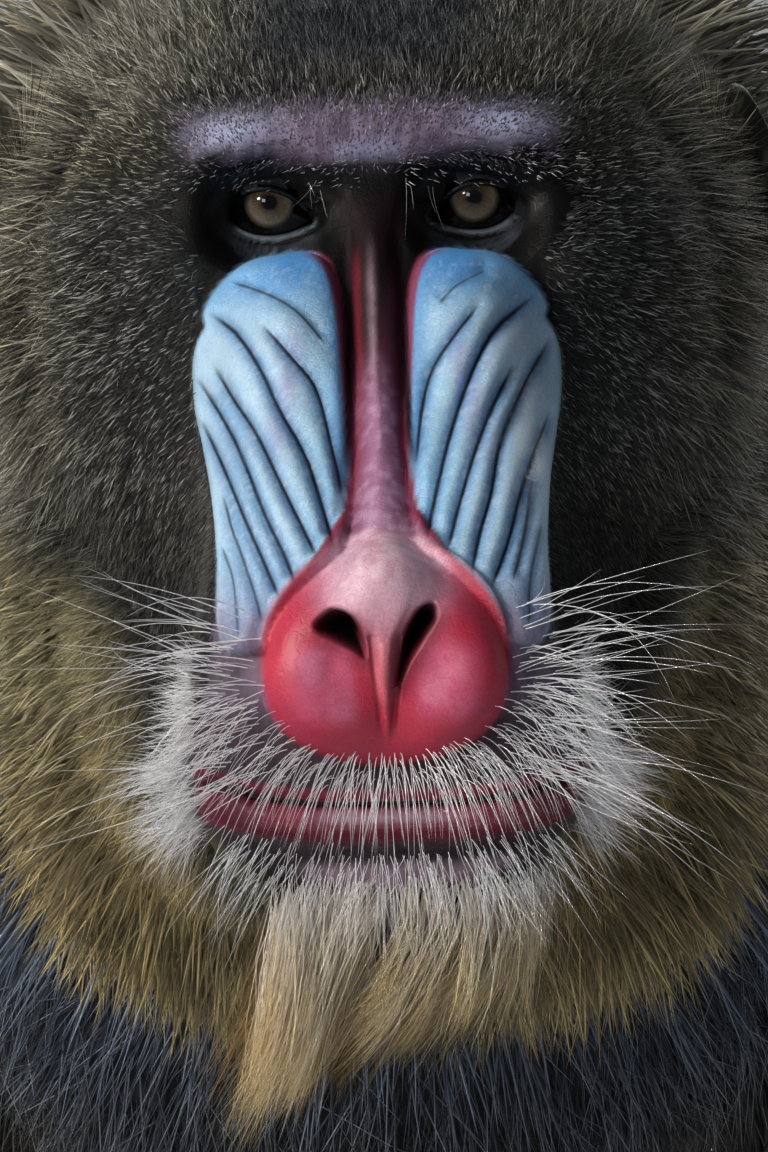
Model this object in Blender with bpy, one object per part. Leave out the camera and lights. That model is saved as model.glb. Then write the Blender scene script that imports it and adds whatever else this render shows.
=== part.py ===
"""Life-size adult male mandrill, standing on all fours with its face to the front.

Metres, +Z up. The animal faces -Y and stands on the floor at z = 0. The head is built in
a frame of its own: origin midway between the eyes, +X to the animal's left, -Y out of
the face along the line of sight, +Z up the brow. The head's tables are in millimetres.
"""

import math

import bmesh
import bpy
import numpy as np
from mathutils import Matrix, Vector
from mathutils.bvhtree import BVHTree

MM = 0.001
GAP = 0.00042
FLAT_ANGLE = math.radians(2.5)
# How far soles and digits reach below the floor before they are cut flat at it
DIP = 0.0022
SEED = 7

# Stance: where the head and the main joints are, in metres, left side
EYE_HEIGHT = 0.565
EYE_FORWARD = 0.425
HEAD_TILT = math.radians(5.0)
HEAD_ROLL = math.radians(-1.7)
SHOULDER = (0.088, -0.140, 0.480)
ELBOW = (0.122, -0.112, 0.305)
WRIST = (0.106, -0.160, 0.092)
KNUCKLES = (0.108, -0.208, 0.017)
HIP = (0.066, 0.190, 0.470)
KNEE = (0.124, 0.098, 0.315)
ANKLE = (0.102, 0.238, 0.100)
BALL_OF_FOOT = (0.106, 0.128, 0.012)
STRIDE = 0.022
# How far the whole body stands back, so that the origin is under the middle of its box
SET_BACK = 0.100

# Face sizes, in metres
EYE_SPACING = 0.044
EYE_RADIUS = 0.0110
EYE_DEPTH = 0.0085
EYE_OPENING = (0.0100, 0.0044, 0.0058)
NOSTRIL_DEPTH = 0.010
MOUTH_HALF_WIDTH = 0.0385

# Half widths and half depths of an arm and a leg in metres, from the root down through
# the joints and the middles between them
ARM_WIDTHS = (0.044, 0.057, 0.047, 0.037, 0.032, 0.0235, 0.0310, 0.0350)
ARM_DEPTHS = (0.046, 0.066, 0.054, 0.041, 0.036, 0.0210, 0.0165, 0.0135)
LEG_WIDTHS = (0.048, 0.062, 0.055, 0.040, 0.034, 0.0235, 0.0210)
LEG_DEPTHS = (0.070, 0.088, 0.070, 0.049, 0.041, 0.0265, 0.0250)
SOLE_WIDTHS = (0.012, 0.025, 0.027, 0.033, 0.033)
SOLE_DEPTHS = (0.013, 0.025, 0.022, 0.0165, 0.0130)
# The rings of a limb at which its three parts meet
LIMB_CUTS = (9, 15)
ARM_RINGS = 22
LEG_RINGS = 19

# Digits: length and half thickness, in metres, and how long each of the four others is
FINGER = (0.058, 0.0078)
TOE = (0.052, 0.0080)
THUMB = (0.034, 0.0075)
BIG_TOE = (0.050, 0.0100)
FINGER_LENGTHS = (0.86, 1.0, 0.97, 0.84)
TOE_LENGTHS = (0.88, 1.0, 0.96, 0.82)
DIGIT_SPREAD = 0.052
THUMB_SETBACK = 0.030
BIG_TOE_SETBACK = 0.052

# Tail: its middle line and half thickness, in metres
TAIL_PATH = ((0, 0.262, 0.524), (0, 0.292, 0.545), (0, 0.312, 0.575), (0, 0.322, 0.606))
TAIL_RADII = (0.018, 0.018, 0.0165, 0.015, 0.0135, 0.011, 0.005)

# Bare pads of the rump: middle of the left one and half sizes, in metres
PAD_PLACE = (0.026, 0.301, 0.474)
PAD_RADII = (0.021, 0.012, 0.028)

# Ears: the cup's section as (share of the radius, depth), and its half width and height
EAR_PROFILE = (
    (0.0, 0.011), (0.45, 0.010), (0.80, 0.003), (1.0, -0.004),
    (0.84, -0.0048), (0.55, 0.002), (0.0, 0.0045),
)
EAR_HALF_WIDTH = 0.0140
EAR_HALF_HEIGHT = 0.0225
EAR_TURN = math.radians(58)
EAR_TIP = math.radians(-10)

# Locks of hair: length, width and thickness, in metres
NECK_LOCK = (0.054, 0.043, 0.0075)
CHEST_LOCK = (0.064, 0.066, 0.0085)
BACK_LOCK = (0.058, 0.060, 0.0080)
TAIL_LOCK = (0.028, 0.016, 0.0040)

# Body inside the tips of its coat: distance back, top, bottom and half width, in metres
TORSO = (
    (-0.236, 0.470, 0.410, 0.045),
    (-0.226, 0.530, 0.350, 0.078),
    (-0.195, 0.582, 0.306, 0.106),
    (-0.135, 0.612, 0.284, 0.125),
    (-0.050, 0.612, 0.276, 0.130),
    (0.030, 0.595, 0.288, 0.127),
    (0.100, 0.578, 0.312, 0.119),
    (0.165, 0.568, 0.345, 0.112),
    (0.225, 0.560, 0.375, 0.107),
    (0.270, 0.541, 0.398, 0.094),
    (0.296, 0.508, 0.425, 0.070),
    (0.303, 0.482, 0.450, 0.040),
)
WAIST_ROW = 6
TORSO_RINGS_PER_ROW = 2
TORSO_SIDES = 26
TORSO_SQUARENESS = 2.25

# Head, nose to nape: top forward, top height, bottom forward, bottom height, half width,
# squareness above and below, and how high the widest place is
HEAD = (
    (91, -103, 91, -103, 0.1, 2.0, 2.0, 0.50),
    (93, -94, 89, -113, 12, 2.1, 2.1, 0.50),
    (92, -86, 86, -124, 23, 2.2, 2.2, 0.50),
    (88, -79, 83, -134, 32, 2.4, 2.3, 0.49),
    (81, -71, 79, -144, 37.5, 2.7, 2.4, 0.48),
    (72, -62, 71, -152, 40, 3.0, 2.5, 0.47),
    (61, -51, 56, -157, 40, 3.2, 2.6, 0.47),
    (49, -39, 36, -153, 38.5, 3.3, 2.6, 0.47),
    (38, -28, 14, -143, 38.5, 3.1, 2.5, 0.48),
    (27, -17, -8, -132, 42, 2.8, 2.4, 0.50),
    (18, -7, -26, -123, 50, 2.6, 2.4, 0.52),
    (13, 5, -42, -116, 62, 2.5, 2.4, 0.53),
    (7, 19, -56, -112, 73, 2.4, 2.3, 0.54),
    (-7, 35, -70, -111, 79, 2.3, 2.3, 0.54),
    (-30, 50, -86, -112, 80, 2.2, 2.2, 0.54),
    (-58, 60, -102, -116, 79, 2.2, 2.2, 0.54),
    (-86, 62, -114, -122, 78, 2.2, 2.2, 0.54),
    (-108, 57, -124, -128, 79, 2.2, 2.2, 0.54),
)
HEAD_RINGS = 30
HEAD_COLUMNS = 32

# Neck behind the head: distance back, top, bottom and half width, in metres
NECK = (
    (-0.262, 0.622, 0.424, 0.085),
    (-0.216, 0.616, 0.392, 0.096),
    (-0.160, 0.596, 0.390, 0.100),
    (-0.110, 0.560, 0.420, 0.085),
)

# Skin folds of one cheek, innermost first, each as (out, height) at its top, middle and
# foot, in millimetres of the face seen from the front
FOLDS = (
    ((29, -15), (17.5, -24), (10, -50)),
    ((34.5, -21), (23, -40), (11.5, -76)),
    ((37, -31), (27.5, -57), (17, -85)),
    ((37.5, -44), (31, -69), (23, -90)),
    ((36.5, -60), (33, -80), (28.5, -95)),
)
FOLD_RADIUS = 4.2

# Rim of one side of the nose pad, from its top round to its foot
NOSE_WING = ((5, -76), (16, -79), (22, -90), (21, -103), (12, -112), (3, -114))


def clear_scene():
    """Removes whatever the scene holds."""
    for item in list(bpy.data.objects):
        bpy.data.objects.remove(item)


def material(name, colour, roughness):
    """A plain Principled finish."""
    made = bpy.data.materials.new(name)
    made.use_nodes = True
    shader = made.node_tree.nodes["Principled BSDF"]
    shader.inputs["Base Color"].default_value = (*colour, 1.0)
    shader.inputs["Roughness"].default_value = roughness
    shader.inputs["Metallic"].default_value = 0.0
    return made


def make_finishes():
    """The finishes of the animal's parts."""
    return {
        "head": material("olive_head_coat", (0.075, 0.070, 0.055), 0.80),
        "mane": material("olive_mane", (0.100, 0.085, 0.050), 0.82),
        "chest": material("grey_shoulder_coat", (0.060, 0.066, 0.075), 0.82),
        "hips": material("olive_back_coat", (0.090, 0.080, 0.060), 0.82),
        "limb": material("dark_limb_coat", (0.045, 0.043, 0.038), 0.82),
        "palm": material("dark_hand_skin", (0.030, 0.026, 0.026), 0.55),
        "ear": material("pink_grey_ear_skin", (0.250, 0.180, 0.180), 0.55),
        "eye": material("amber_eye", (0.200, 0.130, 0.070), 0.12),
        "pad": material("lilac_rump_skin", (0.350, 0.180, 0.330), 0.50),
    }


def smooth_rows(rows, steps):
    """The rows of a table read at the given steps, on a smooth curve through them."""
    rows = np.asarray(rows, float)
    steps = np.asarray(steps, float)
    low = np.clip(steps.astype(int), 0, len(rows) - 2)
    u = (steps - low)[:, None]
    padded = np.vstack([2 * rows[0] - rows[1], rows, 2 * rows[-1] - rows[-2]])
    a, b, c, d = padded[low], padded[low + 1], padded[low + 2], padded[low + 3]
    bend = (2 * a - 5 * b + 4 * c - d) * u**2 + (3 * b - a - 3 * c + d) * u**3
    return 0.5 * (2 * b + (c - a) * u + bend)


def spread(rows, count):
    """A table's rows read at so many even steps from first to last."""
    return smooth_rows(rows, np.linspace(0, len(rows) - 1, count))


def unit(vectors):
    """Vectors at length one."""
    vectors = np.asarray(vectors, float)
    return vectors / np.maximum(np.linalg.norm(vectors, axis=-1, keepdims=True), 1e-12)


def superellipse(angles, squareness):
    """Sideways and upward shares of a rounded box outline, from the top round by +X."""
    power = 2.0 / squareness
    side, rise = np.sin(angles), np.cos(angles)
    return np.sign(side) * np.abs(side) ** power, np.sign(rise) * np.abs(rise) ** power


def ring_mesh(name, rings):
    """A closed mesh through rings of points, with a flat cap at each end."""
    rings = np.asarray(rings, float)
    sides = rings.shape[1]
    made = bmesh.new()
    rows = [[made.verts.new(point) for point in ring] for ring in rings]
    for lower, upper in zip(rows, rows[1:]):
        for i in range(sides):
            j = (i + 1) % sides
            made.faces.new((lower[i], lower[j], upper[j], upper[i]))
    made.faces.new(rows[0][::-1])
    made.faces.new(rows[-1])
    bmesh.ops.remove_doubles(made, verts=made.verts, dist=2e-5)
    bmesh.ops.recalc_face_normals(made, faces=made.faces)
    bmesh.ops.triangulate(made, faces=made.faces)
    mesh = bpy.data.meshes.new(name)
    made.to_mesh(mesh)
    made.free()
    return mesh


def new_object(name, mesh, parent=None):
    """Links a mesh to the scene as an object."""
    made = bpy.data.objects.new(name, mesh)
    bpy.context.scene.collection.objects.link(made)
    made.parent = parent
    return made


def path_rings(path, widths, depths, sides, across=(1, 0, 0), squareness=2.0):
    """Oval rings square to a path, whose width stays near one direction."""
    path = np.asarray(path, float)
    tangents = unit(np.gradient(path, axis=0))
    side = unit(np.cross(np.cross(tangents, across), tangents))
    front = np.cross(tangents, side)
    angles = np.arange(sides) * 2 * np.pi / sides
    a, b = superellipse(angles, squareness)
    wide = np.asarray(widths, float)[:, None, None]
    deep = np.asarray(depths, float)[:, None, None]
    a, b = a[None, :, None], b[None, :, None]
    return path[:, None] + side[:, None] * a * wide + front[:, None] * b * deep


def sweep(name, path, widths, depths, sides, across=(1, 0, 0), parent=None):
    """A closed solid along a path."""
    return new_object(name, ring_mesh(name, path_rings(path, widths, depths, sides, across)), parent)


def ball(name, centre, radii, rings, sides, parent=None):
    """A closed ball or egg, with its poles in front and behind."""
    rows = []
    for turn in np.linspace(0, np.pi, rings):
        around = np.arange(sides) * 2 * np.pi / sides
        across = math.sin(turn) * np.sin(around)
        rise = math.sin(turn) * np.cos(around)
        depth = np.full(sides, -math.cos(turn))
        rows.append(np.asarray(centre) + np.stack([across, depth, rise], axis=1) * np.asarray(radii))
    return new_object(name, ring_mesh(name, rows), parent)


def apply_boolean(target, tools, operation):
    """Joins the tools to the target, or cuts them from it, and removes them."""
    group = bpy.data.collections.new("tools")
    bpy.context.scene.collection.children.link(group)
    for tool in tools:
        bpy.context.scene.collection.objects.unlink(tool)
        group.objects.link(tool)
    modifier = target.modifiers.new("fuse", "BOOLEAN")
    modifier.operation = operation
    modifier.operand_type = "COLLECTION"
    modifier.collection = group
    modifier.solver = "MANIFOLD"
    bpy.context.view_layer.update()
    graph = bpy.context.evaluated_depsgraph_get()
    mesh = bpy.data.meshes.new_from_object(target.evaluated_get(graph), depsgraph=graph)
    target.modifiers.clear()
    target.data = mesh
    for tool in tools:
        bpy.data.objects.remove(tool)
    bpy.data.collections.remove(group)


def keep_largest(target):
    """Leaves only the largest closed surface of an object."""
    made = bmesh.new()
    made.from_mesh(target.data)
    bmesh.ops.triangulate(made, faces=made.faces)
    unseen = set(made.verts)
    shells = []
    while unseen:
        shell, edge = set(), [unseen.pop()]
        while edge:
            vertex = edge.pop()
            shell.add(vertex)
            for link in vertex.link_edges:
                other = link.other_vert(vertex)
                if other in unseen:
                    unseen.remove(other)
                    edge.append(other)
        shells.append(shell)
    largest = max(shells, key=len)
    extra = [vertex for vertex in made.verts if vertex not in largest]
    bmesh.ops.delete(made, geom=extra, context="VERTS")
    bmesh.ops.dissolve_limit(made, angle_limit=FLAT_ANGLE, verts=made.verts, edges=made.edges)
    bmesh.ops.triangulate(made, faces=made.faces)
    made.to_mesh(target.data)
    made.free()


def grown_copy(source, by=GAP):
    """A cutter a little larger than an object, so that what it cuts keeps a gap to it."""
    mesh = source.data.copy()
    made = bmesh.new()
    made.from_mesh(mesh)
    made.normal_update()
    for vertex in made.verts:
        vertex.co += vertex.normal * by * vertex.calc_shell_factor()
    made.to_mesh(mesh)
    made.free()
    cutter = new_object("cutter", mesh)
    cutter.matrix_world = source.matrix_world.copy()
    return cutter


def settle(target, finish, smooth_angle=50.0):
    """Leaves an object one closed surface, and gives it its finish and its shading."""
    keep_largest(target)
    target.data.materials.clear()
    target.data.materials.append(finish)
    target.data.shade_smooth()
    target.data.set_sharp_from_angle(angle=math.radians(smooth_angle))


class Surface:
    """A ring surface that is read by a share along it and a share around it."""

    def __init__(self, rings):
        self.points = np.asarray(rings, float)
        self.count, self.sides = self.points.shape[:2]

    def read(self, along, around):
        """The point at two shares between 0 and 1."""
        row = min(max(along, 0.0), 1.0) * (self.count - 1)
        column = (around % 1.0) * self.sides
        i, j = min(int(row), self.count - 2), int(column) % self.sides
        u, v = row - i, column - int(column)
        k = (j + 1) % self.sides
        lower = self.points[i, j] * (1 - v) + self.points[i, k] * v
        upper = self.points[i + 1, j] * (1 - v) + self.points[i + 1, k] * v
        return lower * (1 - u) + upper * u

    def frame(self, along, around):
        """The point, the outward normal and the direction towards the last ring."""
        here = self.read(along, around)
        back = self.read(along + 0.5 / self.count, around) - self.read(along - 0.5 / self.count, around)
        turn = self.read(along, around + 0.5 / self.sides) - self.read(along, around - 0.5 / self.sides)
        normal = unit(np.cross(back, turn))
        middle = self.points[min(int(along * (self.count - 1)), self.count - 1)].mean(axis=0)
        if normal @ (here - middle) < 0:
            normal = -normal
        return here, normal, unit(back)


def lock(root, normal, lie, size, lift, pull):
    """One flat, tapered lock of hair that leaves a surface and bends to its lie.

    size is (length, width, thickness) in metres, lift the angle off the surface at the
    root in degrees, and pull a vector that bends the lock on its way to the tip.
    """
    length, width, thickness = size
    normal, lie = unit(normal), unit(lie)
    flat = unit(lie - normal * (lie @ normal))
    heading = flat * math.cos(math.radians(lift)) + normal * math.sin(math.radians(lift))
    side = unit(np.cross(normal, heading))
    start = np.asarray(root, float) - heading * length * 0.12 - normal * thickness * 0.8
    rings = []
    for share, wide in ((0.0, 0.80), (0.50, 0.92), (1.0, 0.0)):
        middle = start + heading * length * 1.12 * share + np.asarray(pull, float) * share**2
        half = side * width * 0.5 * wide
        rings.append((middle - half, middle + half, middle + normal * thickness * wide))
    return ring_mesh("lock", rings)


def add_locks(target, meshes, parent=None):
    """Fuses locks into the solid that they grow from."""
    apply_boolean(target, [new_object("lock", mesh, parent) for mesh in meshes], "UNION")


def coat_rows(surface, rows, columns, size, lift, rng, sag=0.2, arc=(0.0, 1.0)):
    """Rows of overlapping locks round a body surface, laid towards its last ring.

    rows is (first share, step, count). arc is the part of the way round that they cover.
    """
    meshes = []
    length, width, thickness = size
    first, step, count = rows
    for row in range(count):
        for column in range(columns):
            share = (column + 0.5 * (row % 2)) / columns
            around = arc[0] + share * (arc[1] - arc[0]) + rng.uniform(-0.006, 0.006)
            along = first + step * row + rng.uniform(-0.006, 0.006)
            point, normal, back = surface.frame(along, around)
            long = length * rng.uniform(0.9, 1.12)
            lie = back + np.array((0, 0, -sag))
            meshes.append(lock(point, normal, lie, (long, width, thickness), lift, normal * -0.1 * long))
    return meshes


def head_frame():
    """The empty that carries the head, tipped and rolled as it is held."""
    frame = bpy.data.objects.new("head_frame", None)
    bpy.context.scene.collection.objects.link(frame)
    frame.location = (0.0, -EYE_FORWARD, EYE_HEIGHT)
    turn = Matrix.Rotation(-HEAD_TILT, 3, "X") @ Matrix.Rotation(HEAD_ROLL, 3, "Y")
    frame.rotation_euler = turn.to_euler()
    bpy.context.view_layer.update()
    return frame


def column_angles(columns):
    """Angles round the head, closer together over the face than under the jaw."""
    even = np.arange(columns) * 2 * np.pi / columns
    return even - 0.25 * np.sin(even)


def head_rings(count, columns):
    """Rings of the head from the nose to the nape, in its own frame, in metres."""
    angles = column_angles(columns)
    rings = np.zeros((count, columns, 3))
    for i, (ft, zt, fb, zb, half, above, below, widest) in enumerate(spread(HEAD, count)):
        side_a, rise_a = superellipse(angles, above)
        side_b, rise_b = superellipse(angles, below)
        upper = np.cos(angles) >= 0
        rise = np.where(upper, rise_a * (1 - widest), rise_b * widest) + widest
        rings[i, :, 0] = np.where(upper, side_a, side_b) * half
        rings[i, :, 1] = -(fb + (ft - fb) * rise)
        rings[i, :, 2] = zb + (zt - zb) * rise
    return rings * MM


def swell(points, centre, reach, push):
    """Moves the points near a place: full push at the centre, none at the reach."""
    apart = (points - np.asarray(centre) * MM) / (np.asarray(reach) * MM)
    near = np.clip(1 - (apart**2).sum(axis=-1), 0, 1) ** 2
    points += near[..., None] * np.asarray(push) * MM


def shape_face(points):
    """Raises or sinks the brow, eye hollows, cheekbones, cheek swellings and nose.

    Places are (across, depth, height), and depth is negative towards the front.
    """
    for side in (-1, 1):
        swell(points, (side * 32, -11, 15), (27, 24, 15), (side * 1, -6, 0))
        swell(points, (side * 22, -12, -2), (18, 26, 15), (side * 1, 16, 0))
        swell(points, (side * 42, 4, -14), (18, 26, 16), (side * 3, -5, 0))
        swell(points, (side * 22, -34, -34), (18, 34, 30), (0, -6, 3))
        swell(points, (side * 21, -58, -64), (17, 30, 26), (side * 1, -4, 2))
        swell(points, (side * 12, -90, -101), (17, 24, 21), (side * 1, -7, 0))
        swell(points, (side * 34, -62, -124), (14, 30, 20), (side * 3, -3, 0))
    swell(points, (0, -14, 15), (26, 24, 14), (0, -5, 0))
    swell(points, (0, -92, -82), (13, 24, 13), (0, -5, 3))
    swell(points, (0, -84, -133), (34, 24, 5), (0, 3, 0))


def front_of(tree, across, height):
    """The point of the head's front at a place seen from ahead, and the normal there."""
    start = Vector((across * MM, -0.5, height * MM))
    point, normal, _, _ = tree.ray_cast(start, Vector((0, 1, 0)))
    return np.array(point), np.array(normal)


def roll_on_face(tree, places, radius, sink, sides=5, steps=5, ends=0.55):
    """A tapered roll of skin laid on the face through places seen from the front."""
    found = [front_of(tree, x, z) for x, z in spread(places, steps)]
    path = np.array([point - normal * sink * MM for point, normal in found])
    taper = ends + (1 - ends) * np.sin(np.pi * np.linspace(0.06, 0.94, steps)) ** 0.6
    size = radius * MM * taper
    size[[0, -1]] *= 0.4
    return sweep("roll", path, size, size, sides, (0, -1, 0.2))


def eye_centre(side):
    """The middle of one eyeball in the head's frame."""
    return np.array((side * EYE_SPACING / 2, EYE_DEPTH, 0.0))


def lid_roll(side, upper):
    """One eyelid: a roll over the front of the eyeball, from corner to corner."""
    half, above, below = EYE_OPENING
    height, reach = (above if upper else -below), EYE_RADIUS + 0.0006
    share = np.linspace(-1, 1, 7)
    across, rise = half * share, height * (1 - share**2)
    depth = np.sqrt(np.maximum(reach**2 - across**2 - rise**2, 1e-6))
    path = eye_centre(side) + np.stack([across, -depth, rise], axis=1)
    thick = 0.0023 * (0.6 + 0.4 * np.sqrt(1 - share**2))
    thick[[0, -1]] *= 0.5
    return sweep("lid", path, thick, thick, 5, (0, -1, 0))


def nostril(side):
    """A cutter for one nostril: a comma that runs up, out and into the nose."""
    line = spread(((3.2, -106), (4.6, -95), (9.0, -87.5), (15.0, -88.5)), 6)
    width = np.array((0.6, 1.6, 2.5, 3.1, 2.5, 0.7)) * MM
    deep = NOSTRIL_DEPTH * np.array((0.35, 0.8, 1.0, 1.0, 0.8, 0.35))
    path = np.stack([side * line[:, 0] * MM, np.full(6, -0.099), line[:, 1] * MM], axis=1)
    return sweep("nostril", path, deep, width, 8, (0, -1, 0))


def beard_locks(tree, rng):
    """Beard of the chin, whose locks hang and draw together to one side."""
    meshes = []
    for row in range(3):
        for column in range(7):
            share = (column - 3) / 3 + rng.uniform(-0.08, 0.08)
            place = Vector((share * (31 - row * 2) * MM, -0.086 + row * 0.022, -0.150 - row * 0.010))
            root, normal, _, _ = tree.find_nearest(place)
            long = (0.056 - 0.013 * abs(share + 0.35) - 0.003 * row) * rng.uniform(0.88, 1.08)
            lie = (-0.16 - 0.42 * share, -0.10 + 0.15 * row, -1.0)
            pull = (-0.008 - 0.012 * share, 0.004, -0.004)
            meshes.append(lock(root, normal, lie, (long, 0.0170, 0.0050), 26, pull))
    return meshes


def whisker_locks(tree, rng):
    """White bristle tufts on each side of the mouth, spread outward."""
    meshes = []
    for side in (-1, 1):
        for i in range(6):
            share = i / 5
            root, normal, _, _ = tree.find_nearest(Vector((side * 0.048, -0.056, (-92 - 50 * share) * MM)))
            lie = (side * 1.0, 0.25, 0.42 - 1.25 * share)
            long = rng.uniform(0.028, 0.036)
            meshes.append(lock(root, normal, lie, (long, 0.0100, 0.0034), 40, (0, 0.004, -0.003)))
    return meshes


def ruff_locks(surface, rng):
    """Side whiskers and ruff of the cheeks and throat, swept back and down."""
    meshes = []
    ear = ear_place(1)
    for side in (-1, 1):
        for row in range(3):
            for column in range(7):
                along = 0.53 + 0.130 * row + rng.uniform(-0.010, 0.010)
                around = side * (0.145 + 0.052 * (column + 0.5 * (row % 2)) + rng.uniform(-0.006, 0.006))
                point, normal, back = surface.frame(along, around)
                if np.linalg.norm(point * (side, 1, 1) - ear) < 0.036:
                    continue
                lie = back + np.array((0, 0, -0.15 - 0.09 * column))
                long = rng.uniform(0.042, 0.052)
                meshes.append(lock(point, normal, lie, (long, 0.0260, 0.0058), 22, normal * -0.004))
    return meshes


def crown_locks(surface, rng):
    """Crest of the crown, in rows that lie backward."""
    meshes = []
    for row in range(3):
        for column in range(5 - row % 2):
            along = 0.745 + 0.064 * row
            around = (column - 2 + 0.5 * (row % 2)) * 0.060 + rng.uniform(-0.006, 0.006)
            point, normal, back = surface.frame(along, around)
            lie = back + np.array((0, 0, 0.15))
            long = rng.uniform(0.038, 0.046)
            meshes.append(lock(point, normal, lie, (long, 0.0250, 0.0055), 28, normal * -0.003))
    return meshes


def ear_place(side):
    """The root of one ear in the head's frame."""
    return np.array((side * 0.0840, 0.074, 0.002))


def build_head(frame, finishes, rng):
    """Head with its cheek folds, nose, lips, lids, beard, whiskers, ruff and crest."""
    points = head_rings(HEAD_RINGS, HEAD_COLUMNS)
    shape_face(points)
    core = new_object("head_core", ring_mesh("head_core", points), frame)
    bpy.context.view_layer.update()
    head = new_object("head", core.data.copy(), frame)
    wide, above, below = EYE_OPENING
    slit = (wide, 0.014, (above + below) / 2)
    places = [eye_centre(side) + (0, -0.014, (above - below) / 2) for side in (-1, 1)]
    apply_boolean(head, [ball("slit", place, slit, 7, 12, frame) for place in places], "DIFFERENCE")
    made = bmesh.new()
    made.from_mesh(core.data)
    tree = BVHTree.FromBMesh(made)
    made.free()
    rolls = []
    for side in (-1, 1):
        for fold in FOLDS:
            places = [(side * out, height) for out, height in fold]
            rolls.append(roll_on_face(tree, places, FOLD_RADIUS, 1.5))
        rolls.append(lid_roll(side, True))
        rolls.append(lid_roll(side, False))
    rolls.append(roll_on_face(tree, ((0, -6), (0, -30), (0, -54), (0, -74)), 5.4, 2.8, 8, 6, 0.8))
    wide = MOUTH_HALF_WIDTH / MM
    shares = np.linspace(-1, 1, 5)
    upper = [(wide * share, -122 - 3.5 * (1 - share**2)) for share in shares]
    lower = [(wide * 0.96 * share, -126.5 - 7.5 * (1 - share**2)) for share in shares]
    rolls.append(roll_on_face(tree, upper, 3.8, 1.5, 8, 9))
    rolls.append(roll_on_face(tree, lower, 3.8, 1.3, 8, 9))
    for side in (-1, 1):
        rolls.append(roll_on_face(tree, [(side * x, z) for x, z in NOSE_WING], 6.0, 3.8, 6, 7, 0.7))
    for roll in rolls:
        roll.parent = frame
    apply_boolean(head, rolls, "UNION")
    surface = Surface(points)
    hair = beard_locks(tree, rng) + ruff_locks(surface, rng)
    hair += whisker_locks(tree, rng) + crown_locks(surface, rng)
    add_locks(head, hair, frame)
    hollow = EYE_RADIUS + GAP
    cutters = [ball("hollow", eye_centre(side), (hollow,) * 3, 8, 12, frame) for side in (-1, 1)]
    cutters += [nostril(side) for side in (-1, 1)]
    for cutter in cutters:
        cutter.parent = frame
    apply_boolean(head, cutters, "DIFFERENCE")
    for side, label in ((-1, "right"), (1, "left")):
        eye = ball(f"eye_{label}", eye_centre(side), (EYE_RADIUS,) * 3, 8, 12, frame)
        settle(eye, finishes["eye"])
    bpy.context.view_layer.update()
    return head, core, points


def build_ears(frame, head, core, finishes):
    """Ears: small bare cups that stand off the sides of the head, clear of its locks."""
    sides = 12
    around = np.arange(sides) * 2 * np.pi / sides
    for side, label in ((-1, "right"), (1, "left")):
        rings = []
        for share, depth in EAR_PROFILE:
            across = share * EAR_HALF_WIDTH * np.sin(around)
            rise = share * EAR_HALF_HEIGHT * np.cos(around)
            rings.append(np.stack([across, np.full(sides, depth), rise], axis=1))
        ear = new_object(f"ear_{label}", ring_mesh("ear", rings), frame)
        turn = Matrix.Rotation(side * EAR_TURN, 4, "Z") @ Matrix.Rotation(EAR_TIP, 4, "X")
        ear.matrix_local = Matrix.Translation(ear_place(side)) @ turn
        bpy.context.view_layer.update()
        apply_boolean(head, [grown_copy(ear)], "DIFFERENCE")
        apply_boolean(ear, [grown_copy(core)], "DIFFERENCE")
        settle(ear, finishes["ear"])


def body_rings(table, steps, sides, squareness=TORSO_SQUARENESS):
    """Rings across the body at steps of a table of (back, top, bottom, half width)."""
    rows = smooth_rows(table, steps)
    angles = np.arange(sides) * 2 * np.pi / sides
    across, rise = superellipse(angles, squareness)
    middle, half = (rows[:, 1] + rows[:, 2]) / 2, (rows[:, 1] - rows[:, 2]) / 2
    rings = np.zeros((len(rows), sides, 3))
    rings[:, :, 0] = rows[:, 3, None] * across
    rings[:, :, 1] = rows[:, 0, None]
    rings[:, :, 2] = middle[:, None] + half[:, None] * rise
    return rings


def build_neck(head, head_points, behind, finishes, rng):
    """Neck from the back of the head into the chest, under the mane."""
    world = np.array(head.matrix_world)
    last = head_points[-1] @ world[:3, :3].T + world[:3, 3]
    quarter = HEAD_COLUMNS // 4
    away = unit(np.cross(last[quarter] - last[0], last[2 * quarter] - last[0]))
    away = away if away[1] > 0 else -away
    start = last + away * GAP
    angles = column_angles(HEAD_COLUMNS)
    across, rise = superellipse(angles, 2.2)
    rings = [start]
    for back, top, bottom, half in spread(NECK, 6):
        height = (top + bottom) / 2 + (top - bottom) / 2 * rise
        rings.append(np.stack([half * across, np.full(len(across), back), height], axis=1))
    rings.insert(1, 0.6 * start + 0.4 * rings[1])
    neck = new_object("neck", ring_mesh("neck", rings))
    cutter = grown_copy(neck)
    surface = Surface(rings)
    hair = coat_rows(surface, (0.29, 0.16, 2), 11, NECK_LOCK, 22, rng)
    add_locks(neck, hair)
    apply_boolean(head, [cutter], "DIFFERENCE")
    apply_boolean(neck, [grown_copy(item) for item in behind], "DIFFERENCE")
    settle(neck, finishes["mane"])
    settle(head, finishes["head"])


def limb_pieces(names, points, widths, depths, steps, sides=10):
    """A limb as one smooth run through its joints, parted square across at the cuts."""
    path = spread(points, steps)
    sizes = spread(np.c_[widths, depths], steps)
    rings = path_rings(path, sizes[:, 0], sizes[:, 1], sides)
    tangents = unit(np.gradient(path, axis=0))
    made = []
    edges = [0, *LIMB_CUTS, steps - 1]
    for name, first, last in zip(names, edges, edges[1:]):
        piece = rings[first : last + 1].copy()
        if first:
            piece[0] += tangents[first] * GAP
        made.append(new_object(name, ring_mesh(name, piece)))
    return made


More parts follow.
